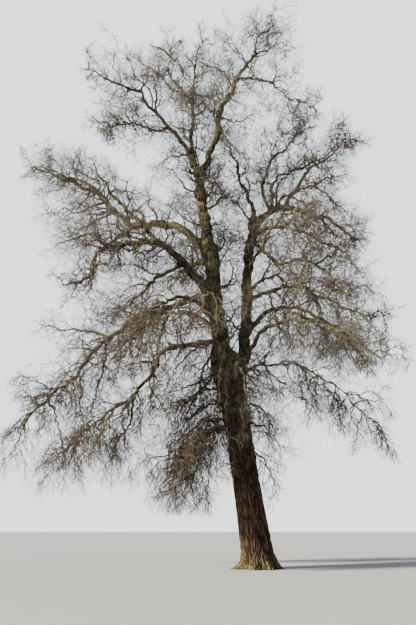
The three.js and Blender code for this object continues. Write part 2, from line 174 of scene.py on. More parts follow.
# Name, carrier, share of the carrier's run, heading, length, thickness and climbs. After them come
# a leader's own tip, or the reach of a limb's twigs, how much the twigs hang, which is less than
# nothing where they rise, and the share of the limb that is bough.
LEADERS = [
    Limb("west_leader", "trunk", 0.94, 205, 10.25, 0.78, [75, 80, 85, 85, 80, 80, 85], tip=0.43),
    Limb("east_leader", "trunk", 0.87, 30, 9, 0.56, [60, 85, 85, 85, 85, 80], tip=0.4),
]
BOUGHS = [Limb(*row) for row in (
    ("top_mid", "west_leader", 0.98, 120, 9.5, 0.3, [60, 80, 95, 85, 95, 100, 110], 2.6, -0.1, 0.66),
    ("top_east", "west_leader", 0.98, 3, 12, 0.34, [70, 70, 85, 65, 70, 60, 80, 45], 3, -0.1, 0.62),
    ("top_west", "top_mid", 0.14, 205, 7.75, 0.26, [65, 50, 40, 35, 60, 0, 5, 10], 2.6, -0.1, 0.36),
    ("top_west_spur", "top_west", 0.32, 225, 4.75, 0.12, [-50, -20, -15, -35, -40, -40], 2, 0, 0.2),
    ("top_mid_spur", "top_mid", 0.6, 140, 7, 0.15, [60, 60, 60, 75, 100, 105], 2.4, -0.1, 0.2),
    ("top_east_spur", "top_east", 0.57, 345, 5.25, 0.14, [-15, -30, -50, -55, -30, -45], 2.4, 0, 0.2),
    ("crown_north", "west_leader", 0.8, 80, 7.5, 0.18, [50, 40, 55, 40, 50], 3.2, -0.1, 0.25),
    ("east_tip", "east_leader", 0.98, 125, 8, 0.24, [80, 65, 80, 70, 60], 2.6, -0.1, 0.3),
    ("high_east", "east_leader", 0.97, 20, 7.25, 0.38, [45, 35, 10, -20, 15, -35, -30], 2.8, 0, 0.38),
    ("high_east_rise", "high_east", 0.2, 40, 9.5, 0.19, [110, 70, 55, 50, 55, 45], 2.6, -0.1, 0.25),
    ("high_east_out", "high_east", 0.34, 340, 5.5, 0.22, [65, 55, 50, 20, 40, 60], 2.6, 0, 0.25),
    ("mid_east", "east_leader", 0.88, 335, 5.5, 0.22, [20, -10, -30, -40, -35, -35], 2.4, 0, 0.3),
    ("lower_east", "east_leader", 0.84, 325, 6.75, 0.2, [-45, -50, -5, -35, -55, -55], 2.6, 0.1, 0.3),
    ("low_east", "east_leader", 0.48, 350, 6.7, 0.21, [20, 15, -10, -35, -35, -25, -10], 3, 0.1, 0.3),
    ("high_west", "west_leader", 0.51, 160, 14.75, 0.45, [55, 35, 10, 45, 50, 35, 30, 30], 3.2, 0, 0.35),
    ("mid_west", "west_leader", 0.33, 205, 8.75, 0.42, [45, 40, 35, 0, -25, -30, -80, -35], 2.8, 0, 0.3),
    ("west_drop", "mid_west", 0.25, 160, 4.5, 0.2, [-25, -30, -40, -35, -25], 2.6, 0.1, 0.25),
    ("long_low_west", "west_leader", 0.25, 207, 10.75, 0.27, [35, -30, -30, -25, -50, -50, -60, -45, -50],
     2.8, 0.2, 0.3),
    ("low_west", "trunk", 0.97, 178, 9.75, 0.28, [55, -5, -20, -70, -50, -30, -40, -45], 3, 0.4, 0.4),
    ("north_high", "east_leader", 0.75, 75, 8, 0.23, [50, 35, 30, 45, 30], 3.4, 0, 0.25),
    ("north_mid", "west_leader", 0.45, 105, 9, 0.26, [45, 30, 20, 30, 15, 0], 3.4, 0, 0.25),
    ("north_low", "trunk", 0.9, 80, 8.5, 0.27, [50, 20, 0, -15, -35, -40], 3.4, 0.2, 0.3),
    ("north_west", "west_leader", 0.15, 135, 9, 0.26, [45, 30, 15, -5, -25, -40], 3.4, 0.1, 0.3),
    ("north_east", "east_leader", 0.3, 35, 9.75, 0.26, [45, 25, 5, -10, -30, -40], 3.4, 0.1, 0.3),
    ("south_mid", "east_leader", 0.6, 295, 6.5, 0.17, [45, 30, 10, -15, -30], 2.8, 0.1, 0.25),
    ("south_east", "east_leader", 0.15, 322, 7.5, 0.22, [45, 10, -15, -35, -50], 2.8, 0.3, 0.3),
    ("south_west", "west_leader", 0.12, 240, 7.5, 0.24, [45, 15, -10, -30, -40, -50], 2.8, 0.3, 0.3),
)]
SHOOTS = [Limb(*row) for row in (
    ("crown_south", "west_leader", 0.88, 260, 5.5, 0.11, [65, 60, 55, 50], 2.8, -0.1),
    ("south_low", "trunk", 0.62, 225, 5, 0.11, [20, -5, -35, -50, -60], 2.4, 0.5),
    ("east_low", "trunk", 0.85, 352, 7.5, 0.13, [35, 0, -30, -45, -50], 2.8, 0.4),
)]
# The small limbs, all stem.
SMALL_LIMBS = [Limb(*row) for row in (
    ("fork_west", "high_west", 0.57, 185, 4.75, 0.2, [45, 30, 15, 25, 0], 1.6, -0.05),
    ("olive_rise", "mid_west", 0.42, 200, 5, 0.24, [50, 40, 45, 45, 50, 65], 1.6, -0.1),
    ("hook_west", "high_west", 0.36, 195, 4.75, 0.2, [-50, -35, -45, 40, -5, -30, -25], 2),
    ("curl_west", "high_west", 0.55, 200, 3.5, 0.16, [-35, -30, -45, -25, 20, -45, -15], 1.8),
    ("upright_west", "high_west", 0.78, 170, 2, 0.09, [90, 110, 95], 1, -0.1),
    ("brush_west", "high_west", 0.5, 215, 3.5, 0.12, [-35, -60, -50, -40], 1.8, 0.1),
    ("crook_west", "mid_west", 0.56, 330, 2, 0.14, [-60, -30, -60, -15], 1.9),
    ("top_cross", "top_mid_spur", 0.22, 165, 5.5, 0.11, [30, 60, 55, 45, 50, 60], 1.3),
    ("top_pale", "top_west", 0.44, 200, 2.75, 0.12, [90, 85, 90], 1, -0.1),
    ("top_bow", "top_mid", 0.5, 340, 2, 0.16, [10, 55, 110, 110], 1.4, -0.1),
    ("top_link", "top_east", 0.51, 170, 3.5, 0.13, [70, 70, 45, 25, 50], 1.4),
    ("top_curl", "top_east", 0.33, 350, 2.25, 0.11, [-35, -30, 0, 40, 15], 1.3),
    ("top_left", "top_east", 0.69, 175, 2.5, 0.1, [55, 60, 55, 50], 1.2, -0.1),
    ("top_right", "top_east", 0.75, 5, 2.75, 0.11, [35, 25, 50, 5, -20], 1.3, -0.1),
    ("leader_twist", "top_mid", 0.2, 200, 2.5, 0.12, [-10, -25, -45, -50], 1.4, 0.1),
    ("rise_fork", "high_east_rise", 0.4, 140, 1.75, 0.1, [80, 90, 70], 1.3, -0.1),
    ("second_rise", "high_east", 0.21, 10, 4, 0.2, [90, 85, 60, 30, 20], 1.4, -0.1),
    ("third_rise", "high_east", 0.25, 20, 4.75, 0.14, [85, 75, 50, 40, 55], 1.1, -0.1),
    ("high_reach", "high_east_out", 0.17, 350, 3.25, 0.14, [25, 10, 35, 5, 0], 1.4),
    ("reach_drop", "high_reach", 0.39, 340, 3.75, 0.11, [-50, -60, -50, -60, -30], 1.4),
    ("inner_east", "high_east", 0.28, 330, 3, 0.14, [85, 20, -40, -45, -35, -5], 0.9),
    ("mid_twist", "mid_east", 0.29, 320, 1.75, 0.12, [10, -5, -55, -65], 0.9),
    ("lower_hang", "lower_east", 0.56, 200, 1.75, 0.1, [-60, -80, -85], 1.4, 0.1),
    ("east_elbow", "east_leader", 0.54, 345, 3.25, 0.18, [30, 30, 15, -45, -55, -50], 1.6),
    ("low_arm", "long_low_west", 0.56, 170, 3, 0.14, [30, 10, 10, 5, 20], 1.4),
    ("brown_drop", "long_low_west", 0.27, 215, 3, 0.18, [-85, -75, -75, -75], 0.9, 0.1),
    ("long_drop", "long_low_west", 0.57, 190, 3, 0.12, [-90, -85, -85, -70, -85, -90], 1.2, 0.2),
    ("hook_drop", "long_low_west", 0.34, 235, 4, 0.13, [-75, -35, -55, -30, -55, -90, -80], 1, 0.1),
    ("drop_arm", "west_drop", 0.42, 150, 2.5, 0.12, [20, 5, -20, -35, -50], 1.4),
    ("low_drop", "low_west", 0.61, 200, 2.75, 0.14, [-90, -90, -75, -45, -70, -90], 1.3, 0.3),
    ("low_west_arm", "low_west", 0.42, 160, 2, 0.12, [10, -5, -5], 1.4),
    ("trunk_left", "trunk", 0.77, 200, 2.25, 0.14, [-15, -10, -35, -40], 1.3, 0.2),
    ("front_sweep", "trunk", 0.64, 235, 4.75, 0.13, [-10, -15, -30, -45, -35], 1.4, 0.4),
    ("right_hang", "trunk", 0.58, 315, 3, 0.11, [-30, -40, -60, -75], 1.2, 0.4),
    ("pale_hang", "trunk", 0.92, 262, 4, 0.12, [0, -60, -80, -85, -75], 0.8, 0.3),
    ("leader_link", "east_leader", 0.97, 165, 4, 0.12, [60, 55, 50, 60], 0.8),
    ("drop_twist", "west_drop", 0.38, 150, 1.75, 0.1, [30, 35, 20, 70, 110], 1.9),
    ("drop_brush", "west_drop", 0.24, 200, 2.5, 0.1, [-10, 25, 15, -5, -25], 2),
    ("left_drop", "low_west", 0.09, 225, 4, 0.13, [-55, -55, -80, -60, -55], 2.2, 0.3),
    ("left_elbow", "trunk", 0.95, 215, 3.25, 0.12, [-25, -50, -45, -45, -25], 2, 0.3),
    ("fan_low", "trunk", 0.65, 240, 4.75, 0.1, [-20, -15, -55, -85, -75], 1.6, 0.5),
    ("fan_mid", "trunk", 0.65, 205, 4, 0.12, [-15, -25, -40, -35, -45], 2, 0.5),
    ("front_fall", "front_sweep", 0.72, 215, 2, 0.09, [-65, -65, -60, -60], 1.4, 0.6),
    ("fan_east", "low_east", 0.37, 310, 2.75, 0.12, [25, -15, -40, -55, -70], 1.6, 0.1),
    ("lower_brush", "lower_east", 0.63, 350, 2.5, 0.1, [35, 0, -45, -60], 1.6),
    ("rise_end", "second_rise", 0.95, 350, 3.5, 0.13, [30, 15, 45, 45, 30], 1.9, -0.1),
    ("elbow_drop", "east_elbow", 0.58, 320, 2.75, 0.1, [-80, -65, -60, -65, -75], 1.5, 0.2),
    ("under_east", "low_east", 0.16, 300, 3.25, 0.12, [-70, -70, -75, -85, -75], 2, 0.3),
    ("low_fall", "low_east", 0.48, 335, 2.5, 0.1, [-65, -75, -85, -90, -85], 1.6, 0.3),
    ("spur_tip", "top_mid_spur", 0.77, 150, 2.75, 0.09, [55, 50, 45, 35], 1.2),
    ("south_left", "south_west", 0.04, 230, 4.75, 0.12, [-35, -30, -45, -60], 1.8, 0.4),
    ("elbow_rise", "east_elbow", 0.27, 340, 1.75, 0.09, [65, 60, 80, 100], 1.6),
    ("lower_crook", "lower_east", 0.23, 310, 2, 0.1, [-60, -55, -45, -35], 1.6, 0.1),
    ("left_spread", "left_drop", 0.48, 200, 2.5, 0.09, [-30, -25, -20, -20], 1.8, 0.3),
    ("west_brush", "hook_west", 0.42, 190, 2.25, 0.08, [20, -25, -30, -30], 1.6),
    ("sweep_left", "front_sweep", 0.62, 200, 2.5, 0.09, [-25, -20, -20, -20], 1.8, 0.4),
    ("sweep_low", "front_sweep", 0.52, 245, 2.5, 0.08, [-60, -55, -60, -50], 1.7, 0.4),
    ("fan_left", "fan_mid", 0.51, 225, 2.5, 0.08, [-55, -55, -65, -65], 1.8, 0.4),
    ("front_fringe", "trunk", 0.72, 255, 3, 0.08, [-10, -60, -75, -80], 1.2, 0.4),
    ("left_high", "trunk", 0.84, 195, 3, 0.1, [-10, -15, -20, -30], 1.8, 0.2),
    ("left_mid", "trunk_left", 0.59, 215, 2.25, 0.09, [-25, -45, -55, -70], 1.8, 0.4),
    ("east_brush", "lower_east", 0.5, 345, 1.75, 0.09, [65, 65, 15, -20], 1.7),
    ("elbow_brush", "east_elbow", 0.51, 350, 1.75, 0.09, [50, 30, -5, -30], 1.7),
    ("right_under", "low_east", 0.2, 320, 2.25, 0.1, [-50, -55, -75, -85], 1.9, 0.2),
    ("low_rise", "east_low", 0.22, 0, 1.75, 0.09, [65, 65, 70, 75], 1.8),
    ("east_fringe", "high_east", 0.63, 330, 2.5, 0.1, [-55, -60, -75, -80], 1.7, 0.1),
    ("front_one", "trunk", 0.96, 252, 4, 0.14, [0, -50, -80, -85, -80], 1, 0.3),
    ("front_two", "trunk", 0.93, 290, 3.5, 0.13, [10, -45, -80, -75], 1, 0.3),
    ("front_three", "trunk", 0.76, 280, 3, 0.12, [10, -40, -75, -80], 1, 0.3),
    ("right_two", "trunk", 0.77, 335, 2.5, 0.1, [-15, -20, -55, -65], 1.6, 0.3),
    ("right_three", "trunk", 0.67, 345, 2.5, 0.09, [-10, -20, -50, -60], 1.6, 0.3),
    ("left_loop", "trunk", 0.96, 215, 2.75, 0.09, [-25, -30, -75, -50, -40], 1.4, 0.2),
    ("low_end", "low_west", 0.66, 235, 2.5, 0.1, [-30, -55, -65, -70], 1.8, 0.5),
    ("low_fringe", "low_west", 0.82, 330, 2.25, 0.09, [-35, -60, -65, -70], 1.7, 0.5),
    ("low_brush", "low_west", 0.9, 190, 2, 0.09, [-45, -60, -55, -60], 1.7, 0.5),
    ("far_drop", "long_low_west", 0.74, 300, 2.75, 0.1, [-45, -60, -70, -75], 1.8, 0.5),
    ("far_fringe", "long_low_west", 0.88, 320, 2.5, 0.09, [-40, -60, -65, -70], 1.7, 0.5),
    ("far_brush", "long_low_west", 0.95, 250, 1.75, 0.08, [-60, -65, -70, -70], 1.5, 0.5),
    ("fork_brush", "west_leader", 0.07, 305, 3, 0.14, [50, 25, 45, 0], 2),
    ("fork_crook", "east_leader", 0.1, 220, 3, 0.14, [60, 20, 40, -10], 2),
    ("fork_fringe", "west_leader", 0.2, 345, 2.5, 0.12, [20, 60, 20, 40], 1.8),
    ("fork_haze", "east_leader", 0.3, 195, 2.5, 0.12, [25, 55, 20, -15], 1.8),
    ("top_hook", "top_mid_spur", 0.77, 200, 1.5, 0.09, [40, 40, 20, -15, -20], 0.9),
    ("west_fork", "top_west", 0.63, 150, 1.5, 0.11, [120, 130, 100, 80], 0.9),
    ("fork_tip", "top_cross", 0.42, 160, 2, 0.09, [90, 90, 80, 70], 0.9),
    ("mid_right", "top_mid", 0.76, 350, 1.75, 0.09, [40, 30, 15, -20, 25], 0.9),
    ("mid_tangle", "top_mid", 0.68, 20, 2.25, 0.08, [-20, 5, 40, 35, 20], 1.1),
    ("crown_right", "top_east", 0.25, 320, 2.25, 0.1, [-50, -60, -60, -60, -65], 1),
    ("spur_arm", "top_west_spur", 0.59, 170, 1.5, 0.08, [65, 70, 60, 30], 0.9),
    ("east_arm", "top_east_spur", 0.27, 10, 1.5, 0.09, [0, 5, 20, 40], 0.9),
    ("top_loop", "top_east", 0.75, 340, 1.5, 0.09, [-40, -10, 40, 65, 65], 0.9),
    ("mid_left", "top_mid", 0.55, 190, 1.25, 0.08, [40, 65, 75, 95], 0.9),
)]

# The bark. Old oak bark is upright ridges that part and meet again round deep cracks, rust brown
# below and grown over with grey-green algae above. The same way of raising ridges serves every
# limb: it lifts the skin along its outward line, by the depth that each corner carries.
RUST_DARK, RUST_PALE = (0.11, 0.06, 0.038), (0.36, 0.21, 0.13)
GREY_DARK, GREY_PALE = (0.052, 0.041, 0.029), (0.27, 0.23, 0.165)
# The olive below is algae's colour, and the same olive paints sunlight on the side that faces the sun.
ALGAE_AND_SUNLIT, ALGAE_AND_SUNLIT_COVER, FOOT_DAMP = (0.3, 0.29, 0.095), 0.85, 0.4
# The cracks' colour: the bark's own dark, made near black as painted shade in the hollows.
CRACK_AND_SHADE = (0.02, 0.012, 0.008)
TONE_FROM, TONE_TO = 0.3, 0.7
GREY_FROM, GREY_TO, GREY_PATCHES = 5.5, 12.0, 4.0  # heights, and how uneven the patches make them
# The side that takes the olive leans towards the sun: the rain's upper side for algae, and painted sunlight.
RAIN_AND_SUN_SIDE = (-0.45, -0.2, 0.85)
ALGAE_AND_SUNLIT_FROM, ALGAE_AND_SUNLIT_TO, ALGAE_PATCHES, ALGAE_ON_GREY = 1.3, 2.3, 2.2, 0.75
FOOT_FROM, FOOT_TO = 0.05, 0.6  # heights where the damp of the ground fades out
NOISE_MIDDLE = 0.5
SKIN_LEVEL = 0.75  # how far up a ridge the smooth skin lies
SEED_STEP = 7.3
MARKS = {"grain": "FLOAT_VECTOR", "outward": "FLOAT_VECTOR", "depth": "FLOAT"}
RIDGE_SHAPE = {"Ridge Length": 9.0, "Crack Share": 0.24, "Wander": 1.3, "Roughness": 0.5, "Swelling": 1.6}


def node_of(tree, kind, settings=None, **values):
    """A node with its settings, and its inputs set to values or linked to other nodes' sockets."""
    node = tree.nodes.new(kind)
    for name, value in (settings or {}).items():
        setattr(node, name, value)
    for name, value in values.items():
        key = int(name[1:]) if name[1:].isdigit() else name.replace("_", " ")
        if isinstance(value, bpy.types.NodeSocket):
            tree.links.new(value, node.inputs[key])
        else:
            node.inputs[key].default_value = value
    return node


def maths_in(tree, kind, *operations):
    """Ways to work out one socket from two others, or from a socket and a value."""
    def of(operation):
        return lambda a, b: node_of(
            tree, "ShaderNode" + kind, {"operation": operation}, i0=a, i1=b).outputs[0]
    return [of(operation) for operation in operations]


def noise(tree, place, scale, detail, roughness=0.5):
    return node_of(tree, "ShaderNodeTexNoise", Vector=place, Scale=scale, Detail=detail,
                   Roughness=roughness).outputs


def scaled(tree, vector, scale):
    node = node_of(tree, "ShaderNodeVectorMath", {"operation": "SCALE"}, i0=vector, Scale=scale)
    return node.outputs[0]


def bark_relief():
    """Geometry nodes that raise ridges and sink cracks on a skin, and keep how deep each place is."""
    tree = bpy.data.node_groups.new("Bark relief", "GeometryNodeTree")
    tree.interface.new_socket("Geometry", in_out="OUTPUT", socket_type="NodeSocketGeometry")
    tree.interface.new_socket("Geometry", in_out="INPUT", socket_type="NodeSocketGeometry")
    for name in ("Ridge Width", *RIDGE_SHAPE, "Seed"):
        tree.interface.new_socket(name, in_out="INPUT", socket_type="NodeSocketFloat")
    tree.interface.new_socket("Bark", in_out="INPUT", socket_type="NodeSocketMaterial")
    given = tree.nodes.new("NodeGroupInput").outputs

    add, less, times = maths_in(tree, "Math", "ADD", "SUBTRACT", "MULTIPLY")
    add_each, less_each, over_each = maths_in(tree, "VectorMath", "ADD", "SUBTRACT", "DIVIDE")

    def swing(uneven, size):
        """Noise as a swing both ways from its middle."""
        return times(less(uneven["Fac"], NOISE_MIDDLE), size)

    def stored(name, kind):
        node = tree.nodes.new("GeometryNodeInputNamedAttribute")
        node.data_type = kind
        node.inputs["Name"].default_value = name
        return node.outputs["Attribute"]

    length = times(given["Ridge Width"], given["Ridge Length"])
    size = node_of(tree, "ShaderNodeCombineXYZ", X=given["Ridge Width"], Y=given["Ridge Width"], Z=length)
    grain = add_each(over_each(stored("grain", MARKS["grain"]), size.outputs[0]), given["Seed"])
    waver = less_each(noise(tree, grain, scale=0.55, detail=2.0)["Color"], (NOISE_MIDDLE,) * 3)
    grain = add_each(grain, scaled(tree, waver, given["Wander"]))
    cells = node_of(tree, "ShaderNodeTexVoronoi", {"feature": "DISTANCE_TO_EDGE"}, Vector=grain, Scale=1.0)
    ridge = node_of(tree, "ShaderNodeMapRange", {"interpolation_type": "SMOOTHSTEP"},
                    Value=cells.outputs["Distance"], From_Max=given["Crack Share"]).outputs["Result"]
    grit = swing(noise(tree, grain, scale=2.6, detail=3.0), given["Roughness"])
    swell = swing(noise(tree, grain, scale=0.16, detail=1.0), given["Swelling"])
    relief = add(add(less(ridge, SKIN_LEVEL), grit), swell)
    lift = times(relief, stored("depth", MARKS["depth"]))
    offset = scaled(tree, stored("outward", MARKS["outward"]), lift)
    raised = node_of(tree, "GeometryNodeSetPosition", Geometry=given["Geometry"], Offset=offset)
    kept = node_of(tree, "GeometryNodeStoreNamedAttribute", {"data_type": "FLOAT", "domain": "POINT"},
                   Geometry=raised.outputs[0], Name="ridge", Value=ridge)
    real = node_of(tree, "GeometryNodeRealizeInstances", Geometry=kept.outputs[0])
    barked = node_of(tree, "GeometryNodeSetMaterial", Geometry=real.outputs[0],
                     Selection=stored("bark", "BOOLEAN"), Material=given["Bark"])
    tree.links.new(barked.outputs[0], tree.nodes.new("NodeGroupOutput").inputs[0])
    return tree


def plain_material(name, roughness, shine):
    """A new material, with its tree, its shader and the places on the object."""
    material = bpy.data.materials.new(name)
    material.use_nodes = True
    tree = material.node_tree
    shader = tree.nodes["Principled BSDF"]
    shader.inputs["Roughness"].default_value = roughness
    shader.inputs["Specular IOR Level"].default_value = shine
    return material, tree, shader, tree.nodes.new("ShaderNodeTexCoord").outputs["Object"]


def bark_material(name):
    """Bark: cracks darker than ridges, partly the bark's own dark and partly painted shade, ridges of
    uneven tone, algae on the upper sides, and painted sunlight in pale olive on the side that faces
    the sun. It is rust brown on the trunk and turns grey, then green with algae, above the fork."""
    material, tree, shader, place = plain_material(name, roughness=0.92, shine=0.25)
    ridge = tree.nodes.new("ShaderNodeAttribute")
    ridge.attribute_name = "ridge"
    add, less, times = maths_in(tree, "Math", "ADD", "SUBTRACT", "MULTIPLY")
    mottle = noise(tree, place, scale=9.0, detail=5.0, roughness=0.65)["Fac"]
    patch = noise(tree, place, scale=1.4, detail=3.0, roughness=0.6)["Fac"]

    def mixed(factor, first, second):
        node = node_of(tree, "ShaderNodeMix", {"data_type": "RGBA"}, i0=factor)
        for socket, value in ((node.inputs[6], first), (node.inputs[7], second)):
            if isinstance(value, bpy.types.NodeSocket):
                tree.links.new(value, socket)
            else:
                socket.default_value = (*value, 1.0)
        return node.outputs[2]

    def ramp(value, low, high, top=1.0):
        node = node_of(tree, "ShaderNodeMapRange", {"interpolation_type": "SMOOTHSTEP"},
                       Value=value, From_Min=low, From_Max=high, To_Max=top)
        return node.outputs[0]

    height = node_of(tree, "ShaderNodeSeparateXYZ", Vector=place).outputs["Z"]
    grey = ramp(add(height, times(patch, GREY_PATCHES)), GREY_FROM, GREY_TO)
    tone = ramp(mottle, TONE_FROM, TONE_TO)
    dull = mixed(grey, RUST_DARK, GREY_DARK)
    pale = mixed(grey, RUST_PALE, GREY_PALE)
    ridges = mixed(tone, dull, pale)
    # Painted sunlight: the side that faces the sun takes the pale olive together with the algae on top.
    normal = tree.nodes.new("ShaderNodeNewGeometry").outputs["Normal"]
    lit = node_of(tree, "ShaderNodeVectorMath", {"operation": "DOT_PRODUCT"}, i0=normal, i1=RAIN_AND_SUN_SIDE)
    damp_and_sunlit = add(lit.outputs["Value"], times(patch, ALGAE_PATCHES))
    damp_and_sunlit = add(damp_and_sunlit, times(grey, ALGAE_ON_GREY))
    damp_and_sunlit = add(damp_and_sunlit, less(FOOT_DAMP, ramp(height, FOOT_FROM, FOOT_TO, FOOT_DAMP)))
    # Algae and painted sunlight, laid over the ridges as one pale olive.
    ridges = mixed(ramp(damp_and_sunlit, ALGAE_AND_SUNLIT_FROM, ALGAE_AND_SUNLIT_TO, ALGAE_AND_SUNLIT_COVER), ridges, ALGAE_AND_SUNLIT)
    # Near-black cracks: the bark's dark, and painted shade in its hollows.
    colour = mixed(ridge.outputs["Fac"], CRACK_AND_SHADE, ridges)
    tree.links.new(colour, shader.inputs["Base Color"])
    grain = noise(tree, place, scale=38.0, detail=4.0, roughness=0.7)["Fac"]
    bump = node_of(tree, "ShaderNodeBump", Strength=0.6, Distance=0.008, Height=grain)
    tree.links.new(bump.outputs[0], shader.inputs["Normal"])
    return material


def outwards(points, sides):
    """For N runs of P points, the directions from each point to the corners of its ring."""
    runs = unit(points[:, 1:] - points[:, :-1])
    square = unit(np.concatenate([runs[:, :1], runs[:, 1:] + runs[:, :-1], runs[:, -1:]], 1))
    start = across(runs[:, 0])[0]
    turn = 2 * math.pi * np.arange(sides) / sides
    rings = []
    for i in range(points.shape[1]):
        normal = square[:, i]
        start = unit(start - (start * normal).sum(-1, keepdims=True) * normal)
        side = np.cross(normal, start)
        rings.append(start[:, None] * np.cos(turn)[:, None] + side[:, None] * np.sin(turn)[:, None])
    return np.stack(rings, 1)


def ring_faces(rings, sides, pointed):
    """The faces of one closed skin over rings of corners, with its last corner as the tip of a point."""
    s = np.arange(sides)
    following = (s + 1) % sides
    low = sides * np.arange(rings - 1)[:, None]
    walls = np.stack([low + s, low + following, low + following + sides, low + s + sides], -1).reshape(-1, 4)
    top = sides * (rings - 1)
    if not pointed:
        return [walls, s[None, ::-1], top + s[None]]
    tip = np.full(sides, sides * rings)
    return [walls, s[None, ::-1], np.stack([top + s, top + following, tip], -1)]


class Skins:
    """N skins with the same faces, as corners (N, C, 3), and what the bark relief reads from them."""

    def __init__(self, corners, faces, material, grain=None, outward=None, depth=None):
        self.corners, self.faces, self.material = corners, faces, material
        nothing = np.zeros_like(corners)
        self.is_bark = grain is not None
        self.grain = nothing if grain is None else grain
        self.outward = nothing if outward is None else outward
        self.depth = nothing[..., 0] if depth is None else depth


def mesh_of(name, skins, materials):
    """One mesh object from skins, each with one material's number, or one for each of its N."""
    loops, totals, numbers, bark = [], [], [], []
    base = 0
    for skin in skins:
        count, corners = skin.corners.shape[:2]
        first = base + corners * np.arange(count)
        for faces in skin.faces:
            loops.append((first[:, None, None] + faces).reshape(-1))
            totals.append(np.full(count * len(faces), faces.shape[1]))
            numbers.append(np.repeat(np.broadcast_to(skin.material, count), len(faces)))
            bark.append(np.full(count * len(faces), skin.is_bark))
        base += count * corners
    loops, totals = np.concatenate(loops), np.concatenate(totals)
    mesh = bpy.data.meshes.new(name)
    mesh.vertices.add(base)
    mesh.loops.add(len(loops))
    mesh.polygons.add(len(totals))
    places = np.concatenate([s.corners.reshape(-1, 3) for s in skins])
    mesh.vertices.foreach_set("co", places.astype(np.float32).ravel())
    mesh.loops.foreach_set("vertex_index", loops.astype(np.int32))
    mesh.polygons.foreach_set("loop_start", (np.cumsum(totals) - totals).astype(np.int32))
    mesh.polygons.foreach_set("use_smooth", np.ones(len(totals), bool))
    for material in materials:
        mesh.materials.append(material)
    mesh.polygons.foreach_set("material_index", np.concatenate(numbers).astype(np.int32))
    for key, kind in MARKS.items():
        values = np.concatenate([getattr(s, key).reshape(-1) for s in skins]).astype(np.float32)
        field = "value" if kind == "FLOAT" else "vector"
        mesh.attributes.new(key, kind, "POINT").data.foreach_set(field, values)
    mesh.attributes.new("bark", "BOOLEAN", "FACE").data.foreach_set("value", np.concatenate(bark))
    mesh.update()
    mesh.validate()
    piece = bpy.data.objects.new(name, mesh)
    bpy.context.scene.collection.objects.link(piece)
    return piece


def drop_marks(mesh):
    """Takes away what only the bark relief reads."""
    for key in (*MARKS, "bark"):
        mesh.attributes.remove(mesh.attributes[key])


relief_tree = bark_relief()


def raise_bark(piece, material, ridge_width, seed):
    """Runs the bark relief on a piece and keeps the result as its plain mesh."""
    modifier = piece.modifiers.new("Bark relief", "NODES")
    modifier.node_group = relief_tree
    values = {"Ridge Width": ridge_width, **RIDGE_SHAPE, "Seed": SEED_STEP * seed, "Bark": material}
    for socket in relief_tree.interface.items_tree:
        if socket.in_out == "INPUT" and socket.name in values:
            modifier[socket.identifier] = values[socket.name]
    graph = bpy.context.evaluated_depsgraph_get()
    mesh = bpy.data.meshes.new_from_object(
        piece.evaluated_get(graph), preserve_all_data_layers=True, depsgraph=graph)
    piece.modifiers.clear()
    piece.data = mesh
    drop_marks(mesh)


def outside(places, axis, radii):
    """How far places are outside a limb with this axis. Inside it is less than nothing."""
    a, b = axis[:-1], axis[1:]
    along = b - a
    square = np.maximum((along**2).sum(1), NOTHING)
    t = np.clip(((places[:, None] - a) * along).sum(-1) / square, 0, 1)
    near = a + t[..., None] * along
    radius = radii[:-1] + t * (radii[1:] - radii[:-1])
    return (np.linalg.norm(places[:, None] - near, axis=-1) - radius).min(1)


COLLAR_SIZE, COLLAR_RISE = 1.1, 0.25  # against the joining limb's thickness, and against that size


def collar_size(limb):
    return COLLAR_SIZE * limb.foot


def collar(gap, size):
    """How much a skin swells where another limb joins it, so that the two run into each other."""
    return COLLAR_RISE * size * np.clip(1 - gap / size, 0, 1) ** 2


# The trunk: one leaning stem of oak, 1.2 m thick, from the flat cut at the ground to its fork. Seven
# roots swell its foot, and flutes run up from them. Its bark is the deepest on the tree.
TRUNK_RINGS = [  # height, thickness east to west, thickness north to south
    (0, 1.62, 1.56), (0.16, 1.42, 1.40), (0.45, 1.29, 1.28), (1.2, 1.20, 1.19), (2.5, 1.12, 1.10),
    (4.2, 1.08, 1.06), (5.6, 1.12, 1.06), (6.8, 1.24, 1.06), (7.7, 1.33, 1.00), (8.25, 1.24, 0.90),
    (8.5, 0.90, 0.64),
]
TRUNK_SIDES = 224
TRUNK_STEP = 0.035
TRUNK_RIDGE = 0.075
TRUNK_DEPTH = 0.04
DOME, DOME_RINGS = 0.3, 10  # the rounded top, hidden in the fork
DOME_FROM, DOME_TO, DOME_TIP = 0.1, 1.5, 0.01
ROOTS, ROOT_TURN, ROOT_SWELL, ROOT_HEIGHT, ROOT_FADE = 7, 0.8, 0.1625, 0.7, 1.3
FLUTES, FLUTE_TURN, FLUTE_TWIST = 5, 1.1, 0.25
FLUTE_SWELL, FLUTE_HEIGHT, FLUTE_LEAST = 0.022, 3.5, 0.012
TOE_TURN, TOE_SWELL, TOE_WIDTH, TOE_HEIGHT = 3.35, 0.34, 0.2, 0.2  # one root shows at the left
TRUNK_REACH = 1.0  # no part of its skin is farther from its middle
AXIS_POINTS = 60
JOINT_LENGTH = 2.0  # of a limb's foot, which the collar round it follows


